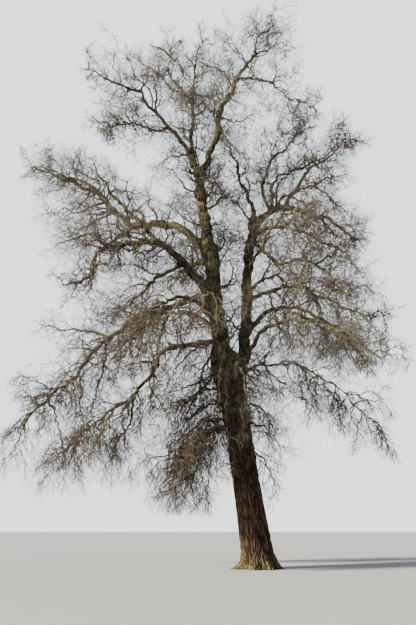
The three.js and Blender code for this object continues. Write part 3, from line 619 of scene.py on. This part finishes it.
def trunk_halves(height):
    """Half the thickness of the trunk each way at a height, smooth between its rings."""
    heights, wide, deep = (np.array(column) for column in zip(*TRUNK_RINGS))
    slopes = [np.gradient(column, heights) for column in (wide, deep)]
    i = np.clip(np.searchsorted(heights, height, side="right") - 1, 0, len(heights) - 2)
    span = heights[i + 1] - heights[i]
    t = np.clip((height - heights[i]) / span, 0, 1)
    halves = []
    for column, slope in zip((wide, deep), slopes):
        rise = (3 * t**2 - 2 * t**3) * (column[i + 1] - column[i])
        bend = span * ((t**3 - 2 * t**2 + t) * slope[i] + (t**3 - t**2) * slope[i + 1])
        halves.append((column[i] + rise + bend) / 2)
    return halves


def outside_trunk(places):
    height = np.clip(places[:, 2], 0, TRUNK_TOP)
    wide, deep = trunk_halves(height)
    middle = trunk_middle(height / TRUNK_TOP)
    ratio = np.hypot((places[:, 0] - middle[:, 0]) / wide, (places[:, 1] - middle[:, 1]) / deep)
    return np.maximum((ratio - 1) * deep, places[:, 2] - TRUNK_TOP)


def limb_axis(limb, until=1.0):
    shares = np.linspace(0, until, AXIS_POINTS)
    return limb.drawn(shares), limb.thickness(shares) / 2


def swell_at_joints(places, carrier, reach):
    """The collars on a limb's skin round the feet of the limbs that it carries."""
    swell = np.zeros(len(places))
    for child in Limb.grown.values():
        if child.carrier != carrier:
            continue
        size = collar_size(child)
        near = np.linalg.norm(places - child.knots[0], axis=1) < child.foot + reach + size
        axis, radii = limb_axis(child, min(1.0, JOINT_LENGTH / child.length))
        swell[near] = np.maximum(swell[near], collar(outside(places[near], axis, radii), size))
    return swell


def trunk_skin():
    dome = TRUNK_TOP + DOME * np.sin(np.linspace(DOME_FROM, DOME_TO, DOME_RINGS))
    heights = np.concatenate([np.linspace(0, TRUNK_TOP, int(TRUNK_TOP / TRUNK_STEP)), dome])
    wide, deep = trunk_halves(np.minimum(heights, TRUNK_TOP))
    close = np.sqrt(np.clip(1 - (np.clip(heights - TRUNK_TOP, 0, DOME) / DOME) ** 2, 0, 1))
    turn = 2 * math.pi * np.arange(TRUNK_SIDES) / TRUNK_SIDES
    high = heights[:, None]
    root = ROOT_SWELL * np.clip(1 - high / ROOT_HEIGHT, 0, 1) ** ROOT_FADE
    flute = FLUTE_SWELL * np.exp(-high / FLUTE_HEIGHT) + FLUTE_LEAST
    toe = TOE_SWELL * np.exp(-((turn - TOE_TURN) / TOE_WIDTH) ** 2)
    lobes = 1 + root * np.cos(ROOTS * turn + ROOT_TURN)
    lobes = lobes + flute * np.cos(FLUTES * turn + FLUTE_TURN + FLUTE_TWIST * high)
    lobes = lobes + toe * np.exp(-high / TOE_HEIGHT)
    middle = trunk_middle(heights / TRUNK_TOP)
    out = np.stack([np.cos(turn), np.sin(turn), 0 * turn], -1)
    outward = np.tile(out, (len(heights), 1))
    reach = np.stack([wide, deep, 0 * wide], -1)[:, None] * close[:, None, None] * lobes[..., None]
    places = (middle[:, None] + out * reach).reshape(-1, 3)
    places = places + swell_at_joints(places, "trunk", TRUNK_REACH)[:, None] * outward
    places = np.concatenate([places, middle[-1:] + (0, 0, DOME_TIP)])
    grain = (out * reach + high[..., None] * (0, 0, 1)).reshape(-1, 3)
    grain = np.concatenate([grain, [(0, 0, TRUNK_TOP)]])
    outward = np.concatenate([outward, np.zeros((1, 3))])
    depth = np.append(np.repeat(TRUNK_DEPTH * close, TRUNK_SIDES), 0)
    faces = ring_faces(len(heights), TRUNK_SIDES, True)
    return Skins(places[None], faces, 0, grain[None], outward[None], depth[None])


oak_bark = bark_material("Oak bark")
trunk = mesh_of("oak_trunk", [trunk_skin()], [oak_bark])
raise_bark(trunk, oak_bark, TRUNK_RIDGE, 0)
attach(trunk, "root")
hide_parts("trunk")

# The leaders and the boughs: living oak wood under bark that grows finer as the limb thins. Each
# swells into a collar at its foot, and its bark goes on into the stem that carries its twigs.
LIMB_DEPTH = 0.03  # of the bark, against the limb's thickness
LIMB_STEP, LEADER_STEP = 0.075, 0.045
FEWEST_RINGS = 12
POINT = 0.5  # how far the tip runs on past the last ring, against the step between rings
SIDES_TO_THE_METRE, FEWEST_SIDES, MOST_SIDES = 85, 10, 36
LEADER_SIDES = (112, 88)
LEADER_RIDGE, BOUGH_RIDGE = 0.06, 0.04


def limb_skins(limb, sides, step):
    """The skin of a limb in two parts: its bough, and the stem of its twigs."""
    count = max(int(limb.length / step), FEWEST_RINGS)
    cut = int(round(limb.end * (count - 1)))
    shares = np.linspace(0, 1, count)
    if 0 < cut < count - 1:
        past = np.linspace(limb.end, 1, count - cut)[1:]
        shares = np.concatenate([np.linspace(0, limb.end, cut + 1), past])
    axis = limb.drawn(shares)
    out = outwards(axis[None], sides)[0]
    radii = np.repeat(limb.thickness(shares)[:, None] / 2, sides, 1)
    places = (axis[:, None] + radii[..., None] * out).reshape(-1, 3)
    if limb.carrier == "trunk":
        gap = outside_trunk(places)
    else:
        gap = outside(places, *limb_axis(Limb.grown[limb.carrier]))
    swell = collar(gap, collar_size(limb))
    swell = np.maximum(swell, swell_at_joints(places, limb.name, limb.foot))
    places = (places + swell[:, None] * out.reshape(-1, 3)).reshape(count, sides, 3)
    turn = 2 * math.pi * np.arange(sides) / sides
    grain = radii[..., None] * np.stack([np.cos(turn), np.sin(turn), 0 * turn], -1)
    grain = grain + (limb.length * shares)[:, None, None] * (0, 0, 1)
    depth = LIMB_DEPTH * 2 * radii

    def part(a, b, pointed):
        def flat(values):
            rows = values[a:b].reshape(-1, *values.shape[2:])
            return np.concatenate([rows, values[b - 1:b, 0]])[None] if pointed else rows[None]
        corners = flat(places)
        if pointed:
            corners[0, -1] = axis[b - 1] + POINT * (axis[b - 1] - axis[b - 2])
        faces = ring_faces(b - a, sides, pointed)
        return Skins(corners, faces, 0, flat(grain), flat(out), flat(depth))

    bough = part(0, cut + 1, False) if cut else None
    stem = part(cut, count, True) if cut < count - 1 else None
    return bough, stem


def sides_of(limb):
    return int(np.clip(limb.foot * SIDES_TO_THE_METRE, FEWEST_SIDES, MOST_SIDES))


for limb, sides in zip(LEADERS, LEADER_SIDES):
    leader, _ = limb_skins(limb, sides, LEADER_STEP)
    piece = mesh_of("oak_" + limb.name, [leader], [oak_bark])
    raise_bark(piece, oak_bark, LEADER_RIDGE, limb.seed)
    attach(piece, "root")
    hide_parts(limb.name)

stems = {}
for limb in BOUGHS + SHOOTS + SMALL_LIMBS:
    bough, stems[limb.name] = limb_skins(limb, sides_of(limb), LIMB_STEP)
    if bough is None:
        continue
    piece = mesh_of("oak_" + limb.name, [bough], [oak_bark])
    raise_bark(piece, oak_bark, BOUGH_RIDGE, limb.seed)
    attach(piece, "root")
    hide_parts(limb.name)

# The small limbs: crooked oak limbs, 8 to 24 cm thick, which grow from the trunk, the leaders and
# the boughs. The bark swells where they join. Those that hang before the trunk or cross in its fork
# are pale olive, partly moss and partly painted sunlight, which keeps them light in the crown's shade.
SMALL_RIDGE, SMALL_SEED = 0.035, 5
TWIG_TONES = ((0.35, 0.7), (0.65, 1.3))  # places on the mottle, and how dark or pale it is there
# A pale olive for the front limbs: moss, and painted sunlight where they stand in shade.
MOSS_AND_SUNLIGHT = (0.31, 0.285, 0.15)
FRONT_LIMBS = ("pale_hang", "front_one", "front_two", "front_three", "front_fringe", "left_loop",
               "fork_brush", "fork_crook")


def twig_material(name, colour):
    """Thin bark: one plain colour with a little unevenness."""
    material, tree, shader, place = plain_material(name, roughness=0.8, shine=0.3)
    mottle = noise(tree, place, scale=6.0, detail=3.0)["Fac"]
    ramp = tree.nodes.new("ShaderNodeValToRGB")
    for stop, (position, tone) in zip(ramp.color_ramp.elements, TWIG_TONES):
        stop.position, stop.color = position, (*(tone * c for c in colour), 1)
    tree.links.new(mottle, ramp.inputs["Fac"])
    tree.links.new(ramp.outputs["Color"], shader.inputs["Base Color"])
    return material


moss_and_sunlight_bark = twig_material("Mossy bark", MOSS_AND_SUNLIGHT)
for name, bark, is_front in (("oak_small_limbs", oak_bark, False), ("oak_front_limbs", moss_and_sunlight_bark, True)):
    skins = [stems[limb.name] for limb in SMALL_LIMBS if (limb.name in FRONT_LIMBS) == is_front]
    piece = mesh_of(name, skins, [bark])
    raise_bark(piece, bark, SMALL_RIDGE, SMALL_SEED)
    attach(piece, "root")

# The masses of twigs: bare oak twigs that fork at wide angles, each order from the one before at
# even shares of its run, turned round it by the golden angle and shorter towards its tip. Each mass
# keeps to the space round its own stem, and each twig is sunk into its carrier at the root.
GOLDEN = 137.5
FORK, FORK_LEAST, FORK_MORE = 52, 0.8, 0.4  # degrees, and what chance leaves and adds of them
KINK = 0.55
TWIG_KEYS, DRAW_STEP = 31, 0.37  # keep the draws of two twigs, and of two stretches, apart
FIRST_TWIG, TWIG_WAVER = 0.08, 0.8  # share of the carrier with no twigs, and of a space by chance
LENGTH_LEAST, LENGTH_MORE = 0.75, 0.5
FITTED_LENGTHS = [1, 0.7, 0.45]
TWIG_SHARE, TWIG_THINS, TWIG_TAPER = 0.55, 0.75, 0.85  # of the carrier, towards its tip, and its own
SPACE_MARGIN = 0.05
LIMB_CLEARANCE = 0.09
LOWEST_TWIG = 1.8
THICK_LIMB, SEAT_SHARE = 0.3, 0.45  # on limbs this thick twigs are measured from near the bark
SAME_PLACE = 0.01
AT_ONCE = 20000
ORDERS = [
    dict(least=0.07, stretches=2, knocks=[0.28, 0.2], sides=4, points=9),
    dict(count=6, length=0.62, shortens=0.6, least=0.042, stretches=2, knocks=[0.3], sides=3, points=5),
    dict(count=5, length=0.8, shortens=0.4, least=0.022, stretches=2, knocks=[], sides=3, points=3),
    dict(count=4, length=1.0, shortens=0.4, least=0.0135, stretches=1, knocks=[], sides=3, points=2),
]
# Kinds of twigs straight on a limb: their length, how much shorter they are at the limb's tip, and
# their thickness against the limb's, with its least and most.
FIRST_TWIGS = dict(length=1.45, shortens=0.86, thick=(TWIG_SHARE, 0.07, 0.2), key=1.0)
MORE_TWIGS = dict(length=1.0, shortens=0.6, thick=(0.5, 0.068, 0.15), key=101.0)
FIRST_SPACING, MORE_SPACING = 0.95, 0.31

masses = BOUGHS + SHOOTS


def segments(lines):
    """Ends of all the stretches of several lines, and the number of the line that each is in."""
    starts = np.concatenate([line[:-1] for line in lines])
    ends = np.concatenate([line[1:] for line in lines])
    return starts, ends, np.repeat(np.arange(len(lines)), [len(line) - 1 for line in lines])


def part_of(limb, a, b):
    """The knots of a limb between two shares of it."""
    inside = (limb.shares > a + SAME_PLACE) & (limb.shares < b - SAME_PLACE)
    return np.concatenate([limb.place(a)[None], limb.knots[inside], limb.place(b)[None]])


stem_lines = segments([part_of(limb, limb.end, 1) for limb in masses])
reaches = np.array([limb.reach for limb in masses])
solid_limbs = LEADERS + [limb for limb in BOUGHS if limb.end]
TRUNK_PLACES = 5
trunk_line = trunk_middle(np.linspace(0, 1, TRUNK_PLACES))
limb_lines = segments([part_of(limb, 0, limb.end) for limb in solid_limbs] + [trunk_line])
BREAST_HEIGHT = 3  # which of the trunk's rings
trunk_width = TRUNK_RINGS[BREAST_HEIGHT][1]
limb_widths = np.array([limb.thickness(limb.end / 3) for limb in solid_limbs] + [trunk_width])


def distances(places, lines, count):
    """The distance of each place to each of count lines, a few thousand places at a time."""
    starts, ends, numbers = lines
    along = ends - starts
    square = np.maximum((along**2).sum(1), NOTHING)
    foot = (starts * along).sum(1)
    least = np.full((len(places), count), np.inf)
    for low in range(0, len(places), AT_ONCE):
        some = places[low:low + AT_ONCE]
        reach = some @ along.T - foot
        t = np.clip(reach / square, 0, 1)
        away = (some**2).sum(1)[:, None] - 2 * (some @ starts.T) + (starts**2).sum(1)
        away = np.sqrt(np.maximum(away - 2 * t * reach + t**2 * square, 0))
        for number in range(count):
            least[low:low + AT_ONCE, number] = away[:, numbers == number].min(1)
    return least


REACH_PAST = np.array([0.25, 0.25, -0.45])  # how far twigs pass the solids' box. They stay below its top
lowest_reach, highest_reach = (np.array(corner) for corner in cad_box)


def in_reach(places):
    """True above head height and inside the box of the whole tree, or a little past it."""
    inside = ((places > lowest_reach - REACH_PAST) & (places < highest_reach + REACH_PAST)).all(1)
    return inside & (places[:, 2] >= LOWEST_TWIG)


def fits(knots, mass, by_limbs):
    """True where a twig stays in its mass's own space, clear of limbs and above head height."""
    tested = np.concatenate([(knots[:, 1:] + knots[:, :-1]) / 2, knots[:, 1:]], 1)
    n, k = tested.shape[:2]
    places = tested.reshape(-1, 3)
    near = distances(places, stem_lines, len(masses)) / reaches
    rows = np.arange(n * k)
    own = near[rows, np.repeat(mass, k)].copy()
    near[rows, np.repeat(mass, k)] = np.inf
    good = (own <= 1) & (near.min(1) >= own + SPACE_MARGIN) & in_reach(places)
    if by_limbs:
        clear = distances(places, limb_lines, len(limb_widths)) - limb_widths / 2
        good &= clear.min(1) > LIMB_CLEARANCE
    return good.reshape(n, k).all(1)


def reaches_out(knots, mass, by_limbs):
    """True where a finer twig stays as near its own stem as the source's twigs do."""
    tested = knots[:, 1:].reshape(-1, 3)
    near = distances(tested, stem_lines, len(masses)) / reaches
    own = near[np.arange(len(tested)), np.repeat(mass, knots.shape[1] - 1)]
    good = (own <= 1) & in_reach(tested)
    return good.reshape(len(knots), -1).all(1)


def twig_knots(root, run, roll, long, hang, key, stretches):
    """Twigs that leave their carriers at a fork, and turn by chance, to the light or down."""
    level, square = across(run)
    fork = np.radians(FORK * (FORK_LEAST + FORK_MORE * chance(key + 0.1)))[:, None]
    roll = np.radians(roll)[:, None]
    out = run * np.cos(fork) + level * np.sin(fork) * np.cos(roll) + square * np.sin(fork) * np.sin(roll)
    knots = [root]
    for i in range(stretches):
        turn = np.stack([KINK * (2 * chance(key + draw + i) - 1) for draw in (0.2, 0.3, 0.4)], -1)
        turn[:, 2] -= hang
        out = unit(out + turn)
        knots.append(knots[-1] + out * (long / stretches)[:, None])
    return np.stack(knots, 1)


class Twigs:
    """Many twigs of one order, side by side: each value is an array with a row for each twig."""

    def __init__(self, **values):
        self.__dict__.update(values)

    def kept(self, rows):
        return Twigs(**{name: value[rows] for name, value in self.__dict__.items()})


def fitted(twigs, stretches, by_limbs, test):
    """Grows each twig at the longest of the fitted lengths that stays in its space, or not at all."""
    whole = twigs.long
    twigs.knots = np.zeros((len(whole), stretches + 1, 3))
    open_rows = np.arange(len(whole))
    good = np.zeros(len(whole), bool)
    for part in FITTED_LENGTHS:
        if not len(open_rows):
            break
        t = twigs.kept(open_rows)
        knots = twig_knots(t.root, t.run, t.roll, t.long * part, t.hang, t.key, stretches)
        fit = test(knots, t.mass, by_limbs)
        twigs.knots[open_rows[fit]] = knots[fit]
        twigs.long[open_rows[fit]] = whole[open_rows[fit]] * part
        good[open_rows[fit]] = True
        open_rows = open_rows[~fit]
    return twigs.kept(good)


def shares_on(count, key):
    """The keys of a carrier's twigs, their shares of its run and their turns round it."""
    j = np.arange(count)
    own = key * TWIG_KEYS + j + 1
    share = FIRST_TWIG + (1 - FIRST_TWIG) * (j + TWIG_WAVER * chance(own + 0.5)) / count
    roll = GOLDEN * j + 360 * chance(key + 0.6)
    return own, share, roll


def uneven_lengths(key):
    return LENGTH_LEAST + LENGTH_MORE * chance(key + 0.7)


def twigs_along(limb, number, kind, spacing, start, end, size=1.0):
    """Twigs on one limb between two shares of it, at even spaces, with their seats on its bark."""
    count = int(math.floor(limb.length * (end - start) / spacing + 0.5))
    key, share, roll = shares_on(count, number + kind["key"])
    line = part_of(limb, start, end)
    shares = shares_of(line)
    i = np.clip(np.searchsorted(shares, share, side="left"), 1, len(line) - 1)
    run = unit(line[i] - line[i - 1])
    level, square = across(run)
    turn = np.radians(roll)[:, None]
    on_limb = start + (end - start) * share
    thickness = limb.thickness(on_limb)
    lift = np.where(thickness > THICK_LIMB, SEAT_SHARE * thickness, 0)[:, None]
    lift = lift * (np.cos(turn) * level + np.sin(turn) * square)
    root = np.stack([np.interp(share, shares, line[:, k]) for k in range(3)], -1) + lift
    long = kind["length"] * size * (1 - kind["shortens"] * share) * uneven_lengths(key)
    share_of_limb, least, most = kind["thick"]
    thick = np.clip(share_of_limb * thickness, least, most)
    return Twigs(root=root, seat=limb.drawn(on_limb) + lift, run=run, roll=roll, long=long, thick=thick,
                 hang=np.full(count, float(limb.hang)), key=key, mass=np.full(count, number), spray=key)


def all_of(several):
    names = list(several[0].__dict__)
    return Twigs(**{name: np.concatenate([getattr(t, name) for t in several]) for name in names})


def side_twigs(twigs, order):
    """The next order, on the twigs of the last one."""
    count, carriers = order["count"], twigs.knots
    last = carriers.shape[1] - 1
    key, share, roll = shares_on(count, twigs.key[:, None])
    roll = np.broadcast_to(roll, key.shape)
    x = np.clip(share * last, 0, last - NOTHING)
    i = x.astype(int)
    rows = np.arange(len(carriers))[:, None]
    a, b = carriers[rows, i], carriers[rows, i + 1]
    root = a + (b - a) * (x - i)[..., None]
    drawn = twigs.drawn.shape[1] - 1
    seat = on_curves(twigs.drawn, share * drawn)
    long = order["length"] * twigs.long[:, None] * (1 - order["shortens"] * share)
    long = long * uneven_lengths(key)
    thick = np.maximum(TWIG_SHARE * twigs.thick[:, None] * (1 - TWIG_THINS * share), order["least"])

    def flat(values):
        return np.ascontiguousarray(values).reshape(-1, *values.shape[2:])

    def each(values):
        return np.repeat(values, count, 0)

    spray = flat(key) if order is ORDERS[1] else each(twigs.spray)
    return Twigs(root=flat(root), seat=flat(seat), run=flat(unit(b - a)), roll=flat(roll), long=flat(long),
                 thick=flat(thick), hang=each(twigs.hang), key=flat(key), mass=each(twigs.mass), spray=spray)


def knocked(knots, key, gnarl):
    """The knots with one more in the middle of each stretch, knocked sideways by chance."""
    run = knots[:, 1:] - knots[:, :-1]
    length = np.linalg.norm(run, axis=-1, keepdims=True)
    level, square = across(unit(run))
    draw = key[:, None] + DRAW_STEP * np.arange(run.shape[1])
    sway = (2 * chance(draw + 0.15) - 1)[..., None]
    nod = (2 * chance(draw + 0.25) - 1)[..., None]
    full = np.empty((len(knots), 2 * knots.shape[1] - 1, 3))
    full[:, ::2] = knots
    full[:, 1::2] = (knots[:, 1:] + knots[:, :-1]) / 2 + gnarl * length * (sway * level + nod * square)
    return full


def draw_twigs(twigs, order):
    """The living line of each twig: from its seat on its carrier, knocked about between its knots."""
    knots = twigs.knots.copy()
    knots[:, 0] = twigs.seat
    for knock in order["knocks"]:
        knots = knocked(knots, twigs.key, knock)
    twigs.drawn = knots


def twig_skins(twigs, order, tone):
    points, sides = order["points"], order["sides"]
    x = np.linspace(0, twigs.drawn.shape[1] - 1, points)
    if points == twigs.drawn.shape[1]:
        line = twigs.drawn
    else:
        line = on_curves(twigs.drawn, np.broadcast_to(x, (len(twigs.key), points)))
    radii = twigs.thick[:, None] / 2 * (1 - TWIG_TAPER * np.linspace(0, 1, points))
    rings = line[:, :-1, None] + radii[:, :-1, None, None] * outwards(line, sides)[:, :-1]
    corners = np.concatenate([rings.reshape(len(line), -1, 3), line[:, -1:]], 1)
    return Skins(corners, ring_faces(points - 1, sides, True), tone)


def grow_orders(twigs, orders, by_limbs, test):
    """All the orders of twigs, from the first on, each as (twigs, its order)."""
    grown = []
    for number, order in enumerate(orders):
        if number:
            twigs = side_twigs(twigs, order)
        twigs = fitted(twigs, order["stretches"], by_limbs[number], test)
        draw_twigs(twigs, order)
        grown.append((twigs, order))
    return grown


TWIG_COLOURS = [  # with the share of the sprays that have each colour, low in the crown and at its top
    ("Brown twigs", (0.14, 0.105, 0.077), 0.36, 0.4),
    ("Grey twigs", (0.205, 0.19, 0.16), 0.2, 0.36),
    ("Olive twigs", (0.18, 0.17, 0.1), 0.26, 0.18),
    ("Russet twigs", (0.18, 0.11, 0.073), 0.18, 0.06),
]
LOW_CROWN, HIGH_CROWN = 5.0, 20.0
twig_materials = [twig_material(name, colour) for name, colour, _, _ in TWIG_COLOURS]


def tones(twigs):
    """The colour of each twig: its spray's draw, by how high the spray is."""
    height = np.clip((twigs.knots[:, 0, 2] - LOW_CROWN) / (HIGH_CROWN - LOW_CROWN), 0, 1)[:, None]
    low, high = (np.array([row[n] for row in TWIG_COLOURS]) for n in (2, 3))
    steps = np.cumsum(low + (high - low) * height, 1)
    return np.minimum((chance(twigs.spray + 0.9)[:, None] > steps).sum(1), len(TWIG_COLOURS) - 1)


def skins_of(grown, number):
    """The skins of all the twigs that belong to one mass or carrier."""
    skins = []
    for twigs, order in grown:
        own = twigs.kept(twigs.mass == number)
        if len(own.key):
            skins.append(twig_skins(own, order, tones(own)))
    return skins


# Where the crown is open, a mass has fewer branches: the space between them is wider.
THINNER = {
    "east_tip": 2.5, "north_high": 2, "north_west": 2, "south_west": 2.2, "south_mid": 3,
    "crown_south": 2.5, "west_drop": 1.4, "top_mid_spur": 2.6, "top_east_spur": 1.6,
    "high_east_rise": 1.8, "crown_north": 1.8, "top_mid": 2, "top_west": 1.6, "top_east": 1.4,
    "high_west": 1.25,
}
NEAR_LIMBS = (True, True, False, False)  # the orders that are kept clear of the limbs
first, more = [], []
for number, limb in enumerate(masses):
    first.append(twigs_along(limb, number, FIRST_TWIGS, FIRST_SPACING, limb.end, 1, limb.reach))
    spacing = MORE_SPACING * THINNER.get(limb.name, 1.0)
    more.append(twigs_along(limb, number, MORE_TWIGS, spacing, limb.end, 1, limb.reach))
orders = grow_orders(all_of(first), ORDERS, NEAR_LIMBS, fits)
orders += grow_orders(all_of(more), ORDERS, NEAR_LIMBS, reaches_out)
for number, limb in enumerate(masses):
    skins = [stems[limb.name]] + skins_of(orders, number)
    piece = mesh_of(limb.name + "_spray", skins, twig_materials)
    raise_bark(piece, oak_bark, BOUGH_RIDGE, limb.seed)
    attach(piece, "root")
    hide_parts(limb.name + "_twigs")

# The side twigs: an old oak's boughs, leaders and trunk carry small branches and shoots all along
# their bark, closest on the trunk below the fork. They root in the bark, on all sides of the limb.
BARK_CLEARANCE = 0.03
SIDE_SHOOTS = dict(length=1.4, shortens=0.2, thick=(0.1, 0.026, 0.04), key=401.0)
SIDE_BRANCHES = dict(length=3.0, shortens=0.4, thick=(0.4, 0.06, 0.13), key=501.0)
SHOOT_SPACING = {"trunk": 0.16, "west_leader": 0.2, "east_leader": 0.4}
BOUGH_SHOOT_SPACING, BRANCH_SPACING = 0.42, 0.45
TRUNK_BARE, SHOOTS_FROM, BRANCHES_FROM = 0.42, 0.03, 0.2  # shares of the carrier
NO_BRANCHES = ("trunk", "east_leader")
TRUNK_HANG = 0.25


def clear(knots, number, by_limbs):
    """True where a twig is clear of every limb and above head height."""
    tested = knots[:, 1:].reshape(-1, 3)
    good = in_reach(tested)
    if by_limbs:
        gaps = distances(tested, limb_lines, len(limb_widths)) - limb_widths / 2
        good &= gaps.min(1) > BARK_CLEARANCE
    return good.reshape(len(knots), -1).all(1)


class TrunkLine:
    """The trunk as a carrier of twigs, between the height of its first twigs and its fork."""

    name, length, hang, end = "trunk", TRUNK_TOP, TRUNK_HANG, 1.0
    knots, shares = trunk_line, shares_of(trunk_line)
    place = Limb.place

    def drawn(self, share):
        return trunk_middle(share)

    def thickness(self, share):
        return trunk_halves(np.asarray(share) * TRUNK_TOP)[1] * 2


def side_piece(name, number, grown):
    """The piece of the side twigs that belong to one carrier, or none where nothing fitted."""
    skins = skins_of(grown, number)
    if not skins:
        return
    piece = mesh_of(name, skins, twig_materials)
    drop_marks(piece.data)
    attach(piece, "root")


carriers = [TrunkLine()] + solid_limbs
branches, shoots = [], []
for number, limb in enumerate(carriers):
    start = TRUNK_BARE if limb.name == "trunk" else SHOOTS_FROM
    spacing = SHOOT_SPACING.get(limb.name, BOUGH_SHOOT_SPACING)
    shoots.append(twigs_along(limb, number, SIDE_SHOOTS, spacing, start, limb.end))
    if limb.name not in NO_BRANCHES:
        branches.append(
            twigs_along(limb, number, SIDE_BRANCHES, BRANCH_SPACING, BRANCHES_FROM, limb.end))
side_orders = grow_orders(all_of(branches), ORDERS, NEAR_LIMBS, clear)
side_orders += grow_orders(all_of(shoots), ORDERS[1:], NEAR_LIMBS[1:], clear)
for number, limb in enumerate(carriers):
    side_piece(limb.name + "_side_twigs", number, side_orders)

# The twigs of the small limbs: oak twigs like those of the masses, set closely along the limbs from
# near their feet to their tips, and joined into one piece.
SMALL_TWIGS = dict(length=1.0, shortens=0.5, thick=(0.5, 0.03, 0.06), key=601.0)
SMALL_SPACING, SMALL_FROM = 0.19, 0.1
SMALL_PIECE = 0
small_twigs = []
for number, limb in enumerate(SMALL_LIMBS):
    twigs = twigs_along(limb, number, SMALL_TWIGS, SMALL_SPACING, SMALL_FROM, 1, limb.reach)
    twigs.mass[:] = SMALL_PIECE
    small_twigs.append(twigs)
small_orders = grow_orders(all_of(small_twigs), ORDERS[1:], NEAR_LIMBS[1:], clear)
side_piece("small_limb_twigs", SMALL_PIECE, small_orders)

# The studio: a plain pale floor and plain pale light all round, with one soft sun from the left.
# Floor and sky look paler to the camera than the light they shed, so that the bark keeps its depth.
FLOOR, FLOOR_LEVEL = 150, -0.002
FLOOR_SEEN, FLOOR_SHED = (0.75, 0.75, 0.74, 1), (0.2, 0.2, 0.19, 1)  # what it shows and what it sheds
floor_mesh = bpy.data.meshes.new("floor")
around = ((-FLOOR, -FLOOR), (FLOOR, -FLOOR), (FLOOR, FLOOR), (-FLOOR, FLOOR))
floor_mesh.from_pydata([(x, y, FLOOR_LEVEL) for x, y in around], [], [(0, 1, 2, 3)])
floor = bpy.data.objects.new("floor", floor_mesh)
bpy.context.scene.collection.objects.link(floor)
floor_material = bpy.data.materials.new("Pale floor")
floor_material.use_nodes = True
tree = floor_material.node_tree
straight = tree.nodes.new("ShaderNodeLightPath").outputs["Is Camera Ray"]
pale = node_of(tree, "ShaderNodeMix", {"data_type": "RGBA"}, i0=straight, i6=FLOOR_SHED, i7=FLOOR_SEEN)
tree.links.new(pale.outputs[2], tree.nodes["Principled BSDF"].inputs["Base Color"])
tree.nodes["Principled BSDF"].inputs["Roughness"].default_value = 0.9
floor_mesh.materials.append(floor_material)

FILL, SEEN_SKY = 0.34, 2.2  # the sky's light on the tree, and as the camera sees it
FILL_COLOUR, SEEN_COLOUR = (0.80, 0.88, 1.0, 1), (0.86, 0.91, 0.97, 1)
SUN_TURN, SUN_CLIMB, SUN_WIDTH = math.radians(-65), math.radians(19), math.radians(3)
SUN_POWER, SUN_COLOUR = 10.0, (1.0, 0.93, 0.82)
sky = bpy.data.worlds.new("Pale sky")
sky.use_nodes = True
tree = sky.node_tree
fill = tree.nodes["Background"]
fill.inputs["Color"].default_value = FILL_COLOUR
fill.inputs["Strength"].default_value = FILL
seen = node_of(tree, "ShaderNodeBackground", Color=SEEN_COLOUR, Strength=SEEN_SKY)
straight = tree.nodes.new("ShaderNodeLightPath").outputs["Is Camera Ray"]
either = node_of(tree, "ShaderNodeMixShader", i0=straight, i1=fill.outputs[0], i2=seen.outputs[0])
tree.links.new(either.outputs[0], tree.nodes["World Output"].inputs["Surface"])
bpy.context.scene.world = sky
sun_data = bpy.data.lights.new("sun", "SUN")
sun_data.energy, sun_data.angle, sun_data.color = SUN_POWER, SUN_WIDTH, SUN_COLOUR
sun = bpy.data.objects.new("sun", sun_data)
sun.rotation_euler = (math.pi / 2 - SUN_CLIMB, 0, SUN_TURN)
bpy.context.scene.collection.objects.link(sun)

# The camera stands where the photograph was taken, 22 m away at eye height, and looks up.
CAMERA_PLACE = (-1.98, -22.5, 1.5)
CAMERA_PITCH = math.radians(22.2)
SENSOR = 36.0
FOCAL_PIXELS, PHOTO_HEIGHT = 525, 625
camera_data = bpy.data.cameras.new("camera")
camera_data.sensor_width = SENSOR
camera_data.lens = FOCAL_PIXELS / PHOTO_HEIGHT * SENSOR
camera_data.clip_end = 1000
camera = bpy.data.objects.new("camera", camera_data)
camera.location = CAMERA_PLACE
camera.rotation_euler = (math.pi / 2 + CAMERA_PITCH, 0, 0)
bpy.context.scene.collection.objects.link(camera)
bpy.context.scene.camera = camera
